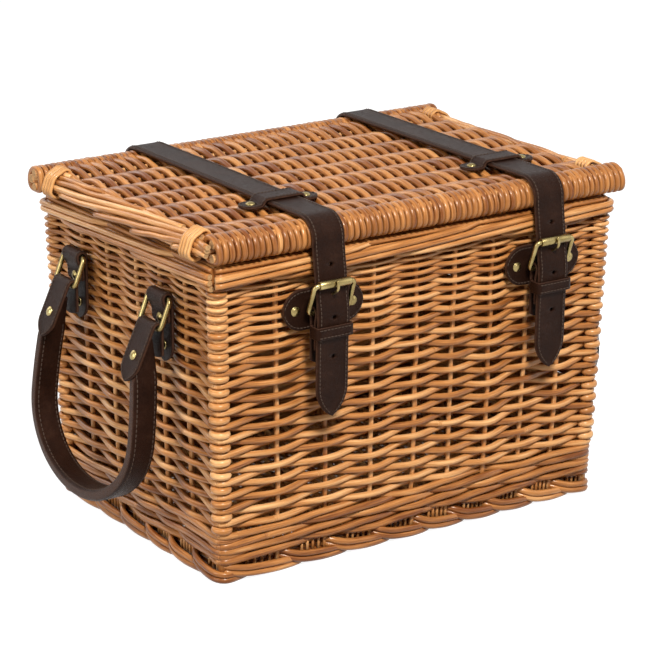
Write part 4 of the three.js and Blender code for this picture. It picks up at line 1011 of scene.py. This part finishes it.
def loop(side, x, rivets):
    """The leather loop on the lid that holds the strap down."""
    thick = 2.4
    rest, arch = PANEL_TOP + 1.5, LID_TOP + 0.6 + STRAP_THICK + 1.2
    clear = STRAP_HALF + 0.3 + 1.2
    half_line = np.vstack((
        [(0, arch), (clear - 1, arch)],
        bezier((clear - 1, arch), (clear + 2.5, arch), (clear + 2.5, rest), (clear + 5, rest)),
        [(36, rest)],
    ))
    line = np.vstack((half_line[::-1] * (-1, 1), half_line[1:]))
    line = np.column_stack((x + line[:, 0], np.full(len(line), LOOP_Y), line[:, 1]))
    path = fine_ends(line, 1.5, 8.0)
    d = np.abs(path[:, 0] - x)
    waist = np.interp(d, (0, 12, 19, 24, 27), (13.0, 12.6, 10.0, 9.6, 10.0))
    half = np.minimum(waist, round_ended(d, 10.0, 26))
    face = outward(path, Y, (x, LOOP_Y, 200))
    piece = sewn_strip(f"{side}_loop", path, Y, half, thick, face, 2.0)
    dress(piece, "lid", "leather", f"{side}_strap_loop")
    for s in (-1, 1):
        dome(rivets, (x + 26 * s, LOOP_Y, rest + thick / 2), Z)


def buckle_leather(side, x, rivets):
    """Backing plate with two ears, the chape round the heel bar and the keeper."""
    thick, level = 3.4, 220.0
    middle = PLATE_FRONT + thick / 2
    path = fine_ends([(x - 37.5, middle, level), (x + 37.5, middle, level)], 1.5, 16.0)
    half = round_ended(np.abs(path[:, 0] - x), 17.0, 20.5)
    face = outward(path, Z, (x, 0, level))
    piece = sewn_strip(f"{side}_ears", path, Z, half, thick, face, 2.4)
    dress(piece, "basket", "leather", f"{side}_backing_plate")
    for s in (-1, 1):
        dome(rivets, (x + 27 * s, PLATE_FRONT, level), -Y)

    fold = 3.9
    line = np.vstack((
        [(CHAPE_BACK, 174), (CHAPE_BACK, HEEL[1])],
        arc(HEEL, fold, 0, 180),
        bezier((HEEL[0] - fold, HEEL[1]), (HEEL[0] - fold, 213), (CHAPE_FRONT, 213), (CHAPE_FRONT, 209)),
        [(CHAPE_FRONT, 188)],
    ))
    path = fine_ends(flat_yz(x, line), 1.2, 5.0)
    shape = Shape()
    band(shape, path, X, pointed(path, 14.5, 0.0, 5.0), STRAP_THICK)
    piece = shape.make(f"{side}_chape_leather", LEATHER)
    bpy.ops.mesh.primitive_cube_add(size=1, location=metres(x, HEEL[0] - 1.5, HEEL[1] + 2),
                                    scale=(0.005, 0.012, 0.014))
    cut_away(piece)
    dress(piece, "basket", "leather", f"{side}_chape")

    thick, level = 2.2, 203.0
    front, back = -154.673 - thick / 2, -145.573 + thick / 2
    reach = STRAP_HALF + 0.3 + thick / 2
    oval = rounded(reach, front, back, 2.0, 5, 1.5)
    path = np.column_stack((x + oval[:, 0], oval[:, 1], np.full(len(oval), level)))
    shape = Shape()
    band(shape, path, Z, np.full(len(path), 5.0), thick, closed=True)
    for z in (199.9, 206.1):
        line = np.array([(x + w, front - thick / 2, z) for w in np.linspace(-reach + 1, reach - 1, 12)])
        stitches(shape, line, np.broadcast_to(-Y, line.shape))
    piece = shape.make(f"{side}_keeper_leather", LEATHER, THREAD)
    dress(piece, "basket", "leather", f"{side}_keeper")


def buckle(side, x):
    """The buckle's frame, roller and prong."""
    up = np.array([0, ROLLER[0] - HEEL[0], ROLLER[1] - HEEL[1]])
    length = np.linalg.norm(up)
    shape = Shape()
    wire_loop(shape, X, up / length, 18.7, length, 3.6, (x, *HEEL), 2.0)
    dress(shape.make(f"{side}_buckle", BRASS), f"{side}_buckle", "brass", f"{side}_buckle_frame")

    shape = Shape()
    profile = np.array([(2.3, -14.5), (3.1, -14.5), (ROLLER_RADIUS, -14.1), (ROLLER_RADIUS, 14.1),
                        (3.1, 14.5), (2.3, 14.5)])
    turn = np.linspace(0, 2 * np.pi, 24, endpoint=False)
    circle = np.cos(turn)[:, None] * Z + np.sin(turn)[:, None] * -Y
    centre = np.array([x, *ROLLER])
    rings = centre + profile[:, 1, None, None] * X + profile[:, 0, None, None] * circle
    u, v = np.linspace(0, 0.03, len(profile) + 1), np.linspace(0, 0.02, 25)
    shape.skin(rings[:, ::-1], u, v, 0.5, True)
    dress(shape.make(f"{side}_roller", BRASS), f"{side}_roller", "brass", f"{side}_buckle_roller")

    shape = Shape()
    heel_y, heel_z = HEEL
    turn = np.linspace(0, 2 * np.pi, 20, endpoint=False)
    eye = flat_yz(x, np.column_stack((heel_y + 3.1 * np.cos(turn), heel_z + 3.1 * np.sin(turn))))
    tube(shape, eye, 0.8, 8, X, closed=True, tall=2.6)
    rest = ROLLER[0] - ROLLER_RADIUS - 0.3 - 1.4
    pin = spline(flat_yz(x, [
        (heel_y, heel_z + 3.2), (heel_y, heel_z + 10.5), ((heel_y + rest) / 2, heel_z + 15.5),
        (rest + 1, ROLLER[1] - 4.4), (rest, ROLLER[1]), (rest + 0.5, ROLLER[1] + 3.4),
    ]), 0.8)
    tube(shape, pin, np.linspace(1.4, 1.25, len(pin)), 10, X)
    dress(shape.make(f"{side}_prong", BRASS), f"{side}_prong", "brass", f"{side}_buckle_prong")


# Handles

def folded_strip(name, body, sx, y, line, points, thick, inset):
    """A strip with stitches at one end of the basket, its line in x and z, on a handle or a wall."""
    line = np.column_stack((sx * line[:, 0], np.full(len(line), y), line[:, 1]))
    path = fine_ends(line, 1.3, 5.0)
    half = pointed(path, 13.0, *points)
    first_run = unit(path[12] - path[8])
    face = 1 if np.cross(first_run, Y)[0] * sx < 0 else -1
    piece = sewn_strip(f"{name}_leather", path, Y, half, thick, face, inset)
    dress(piece, body, "leather", name)


def handles(rivets):
    for side, sx in (("left", -1), ("right", 1)):
        grip_rivets = Shape()
        for end, sy in (("front", -1), ("rear", 1)):
            y = HANDLE_Y + sy * HANDLE_GAP / 2
            tab(side, end, sx, y, rivets)
            wire_ring(side, end, sx, y)
            tongue(side, end, sx, y, grip_rivets)
        grip(side, sx)
        dress(grip_rivets.make(f"{side}_handle_rivets", BRASS), f"{side}_handle", "brass")


def tab(side, end, sx, y, rivets):
    """A leather tab on the end wall, folded round a ring's upper bar."""
    thick, radius = 2.8, 4.0
    over_bar, bar_z = RING_BAR[0] + radius, RING_BAR[1]
    line = np.vstack((
        [(TAB_BACK_X, 172), (TAB_BACK_X, bar_z)],
        arc(RING_BAR, radius, 180, 0),
        bezier((over_bar, bar_z), (over_bar, 222), (FLAP_X, 218), (FLAP_X, 213)),
        [(FLAP_X, 204)],
    ))
    folded_strip(f"{side}_{end}_tab", "basket", sx, y, line, (4.0, 14.0), thick, 2.3)
    for x, z in ((FLAP_X, 209.2), (TAB_BACK_X, 186)):
        dome(rivets, (sx * (x + thick / 2), y, z), (sx, 0, 0))


def wire_ring(side, end, sx, y):
    tilt = math.radians(22)
    down = np.array([sx * math.sin(tilt), 0, -math.cos(tilt)])
    shape = Shape()
    wire_loop(shape, Y, down, 16.3, 25.0, 4.2, (sx * RING_BAR[0], y, RING_BAR[1]), 2.1)
    piece = shape.make(f"{side}_{end}_wire_ring", BRASS)
    dress(piece, f"{side}_ring_{end}", "brass", f"{side}_{end}_ring")


def grip_outer(z):
    """The grip's outer edge at a height."""
    return LOWER_BAR[0] + GRIP_WIDTH + (TONGUE_TIP - z) * GRIP_LEAN


def tongue(side, end, sx, y, rivets):
    """A pointed tongue round a ring's lower bar, riveted over the grip's end."""
    seat = grip_outer(TONGUE_TIP) + 0.6 + TONGUE_THICK / 2
    back_x = LOWER_BAR[0] - TONGUE_RADIUS
    leave = 180 / 7
    line = np.vstack((
        [(back_x, LOWER_BAR[1] - 26), (back_x, LOWER_BAR[1])],
        arc(LOWER_BAR, TONGUE_RADIUS, 180, leave),
        [(seat, TONGUE_TIP)],
    ))
    folded_strip(f"{side}_{end}_tongue", f"{side}_handle", sx, y, line, (15.0, 4.0), TONGUE_THICK, 2.2)
    start = line[-2]
    slope = line[-1] - start
    out = unit(np.array([-slope[1], slope[0]]))
    place = start + 0.55 * slope + out * TONGUE_THICK / 2
    dome(rivets, (sx * place[0], y, place[1]), (sx * out[0], 0, out[1]))


def grip(side, sx):
    """The grip: a thick strap bent into a U, its ends inside the tongues."""
    half_gap = HANDLE_GAP / 2
    wide, lowest, bend_rise = half_gap + 11, LOWER_BAR[1] - 153.8, 62.0
    bend_start = lowest + bend_rise
    leg_top = LOWER_BAR[1] - TONGUE_RADIUS - TONGUE_THICK - GRIP_THICK / 2
    t = np.linspace(0, 1, 24)[:, None]
    a, b, c = np.array([(half_gap, leg_top), (wide, (leg_top + bend_start) / 2), (wide, bend_start)])
    leg = a * (1 - t) ** 2 + 2 * b * t * (1 - t) + c * t**2
    turn = np.linspace(0, -math.pi, 60)[1:-1]
    bend = np.column_stack((wide * np.cos(turn), bend_start + bend_rise * np.sin(turn)))
    flat = resample(np.vstack((leg, bend, leg[::-1] * (-1, 1))), 3.0)
    along = directions(flat)
    taper = (GRIP_WIDTH - TONGUE_THICK) / (LOWER_BAR[1] - TONGUE_TIP)

    outline = section(GRIP_WIDTH / 2, GRIP_THICK, 2.2, 5, (0.7, 0.35, 0.0, -0.35, -0.7), 0.35, 2)
    v = lengths(outline[:, :2], closed=True)
    y, z = flat.T[:, :, None]
    dy, dz = along.T[:, :, None]
    w = GRIP_WIDTH - np.maximum(0.0, z - TONGUE_TIP) * taper
    outer = grip_outer(np.minimum(z, TONGUE_TIP))
    xs = outer - GRIP_WIDTH + w / 2 + outline[:, 0] * (w / GRIP_WIDTH)
    rings = np.stack((sx * xs, HANDLE_Y + y + dz * outline[:, 1], z - dy * outline[:, 1]), -1)
    tones = outline[:, 2]
    if sx < 0:
        rings, tones = rings[:, ::-1], tones[::-1]
    shape = Shape()
    shape.skin(rings, lengths(rings[:, 0]), v, tones)

    keep = flat[:, 1] <= TONGUE_TIP + 8
    middle = outer[keep, 0] - GRIP_WIDTH / 2
    for face in (-1, 1):
        out = np.column_stack((np.zeros(len(middle)), along[keep, 1] * face, -along[keep, 0] * face))
        for inset in (-GRIP_WIDTH / 2 + 3.0, GRIP_WIDTH / 2 - 3.0):
            line = np.column_stack((sx * (middle + inset), HANDLE_Y + flat[keep, 0], flat[keep, 1]))
            stitches(shape, line + out * GRIP_THICK / 2, out, pitch=4.0, length=2.9)
    dress(shape.make(f"{side}_grip", LEATHER, THREAD), f"{side}_handle", "leather",
          f"{side}_handle_grip")


# Stage, light and camera

LIGHTS = (
    ("key", (-0.45, -1.6, 1.98), (0.45, 0.45), 85),
    ("side", (-1.9, -0.2, 0.9), (1.0, 1.4), 23),
    ("fill", (1.9, -1.1, 0.9), (1.4, 1.4), 8),
    ("back", (-0.7, 2.1, 1.4), (1.4, 1.4), 17),
)
LIT_PLACE = (0, 0, 0.15)
WHITE = (1, 1, 1, 1)


def area_light(name, place, size, watts):
    light = bpy.data.lights.new(name, "AREA")
    light.shape = "RECTANGLE"
    light.size, light.size_y = size
    light.energy = watts
    lamp = bpy.data.objects.new(name, light)
    bpy.context.collection.objects.link(lamp)
    lamp.location = place
    x, y, z = np.subtract(LIT_PLACE, place)
    lamp.rotation_euler = (math.atan2(math.hypot(x, y), -z), 0, math.atan2(y, x) - math.pi / 2)


def seen(tree):
    """1 for rays that show a thing straight, in a mirror or through glass, otherwise 0."""
    rays = node(tree, "ShaderNodeLightPath").outputs
    direct = math_node(tree, "MAXIMUM", rays["Is Camera Ray"], rays["Is Glossy Ray"])
    return math_node(tree, "MAXIMUM", direct, rays["Is Transmission Ray"])


def stage():
    """A floor and a world that look white and light the basket little, and the lights."""
    bpy.ops.mesh.primitive_plane_add(size=30, location=(0, 0, 0))
    floor = bpy.context.object
    floor.name = "floor"
    material, tree, shader = new_material("pale_floor")
    feed(tree, shader, {
        "Base Color": (0.36, 0.36, 0.36, 1),
        "Roughness": 0.9,
        "Specular IOR Level": 0.0,
    })
    strength = math_node(tree, "MULTIPLY", seen(tree), 0.91)
    glow = node(tree, "ShaderNodeEmission", {"Color": WHITE, "Strength": strength})
    both = node(tree, "ShaderNodeAddShader", {0: shader.outputs[0], 1: glow.outputs[0]})
    feed(tree, tree.nodes["Material Output"], {0: both.outputs[0]})
    floor.data.materials.append(material)

    world = bpy.data.worlds.new("studio")
    bpy.context.scene.world = world
    world.use_nodes = True
    tree = world.node_tree
    strength = spread(tree, seen(tree), 0.0, 1.0, 0.03, 1.0)
    feed(tree, tree.nodes["Background"], {"Strength": strength, "Color": WHITE})
    for light in LIGHTS:
        area_light(*light)


def camera():
    data = bpy.data.cameras.new("camera")
    data.sensor_width = 36
    data.lens = 2738.2 / 650 * 36
    eye = bpy.data.objects.new("camera", data)
    bpy.context.collection.objects.link(eye)
    eye.location = metres(-1238.5, -1843.6, 864.9)
    eye.rotation_euler = (math.radians(90 - 17.85), 0, math.radians(-33.86))
    bpy.context.scene.camera = eye


walls()
foot()
base()
rim()
rail("lid_front_coil", "lid_front_rail", LID_FRONT, 1, -35, 37)
rail("lid_rear_coil", "lid_rear_rail", LID_REAR, -1, -37, 37)
lid_weave()
lid_edges()
straps()
stage()
camera()
bpy.context.scene.view_settings.view_transform = "Standard"
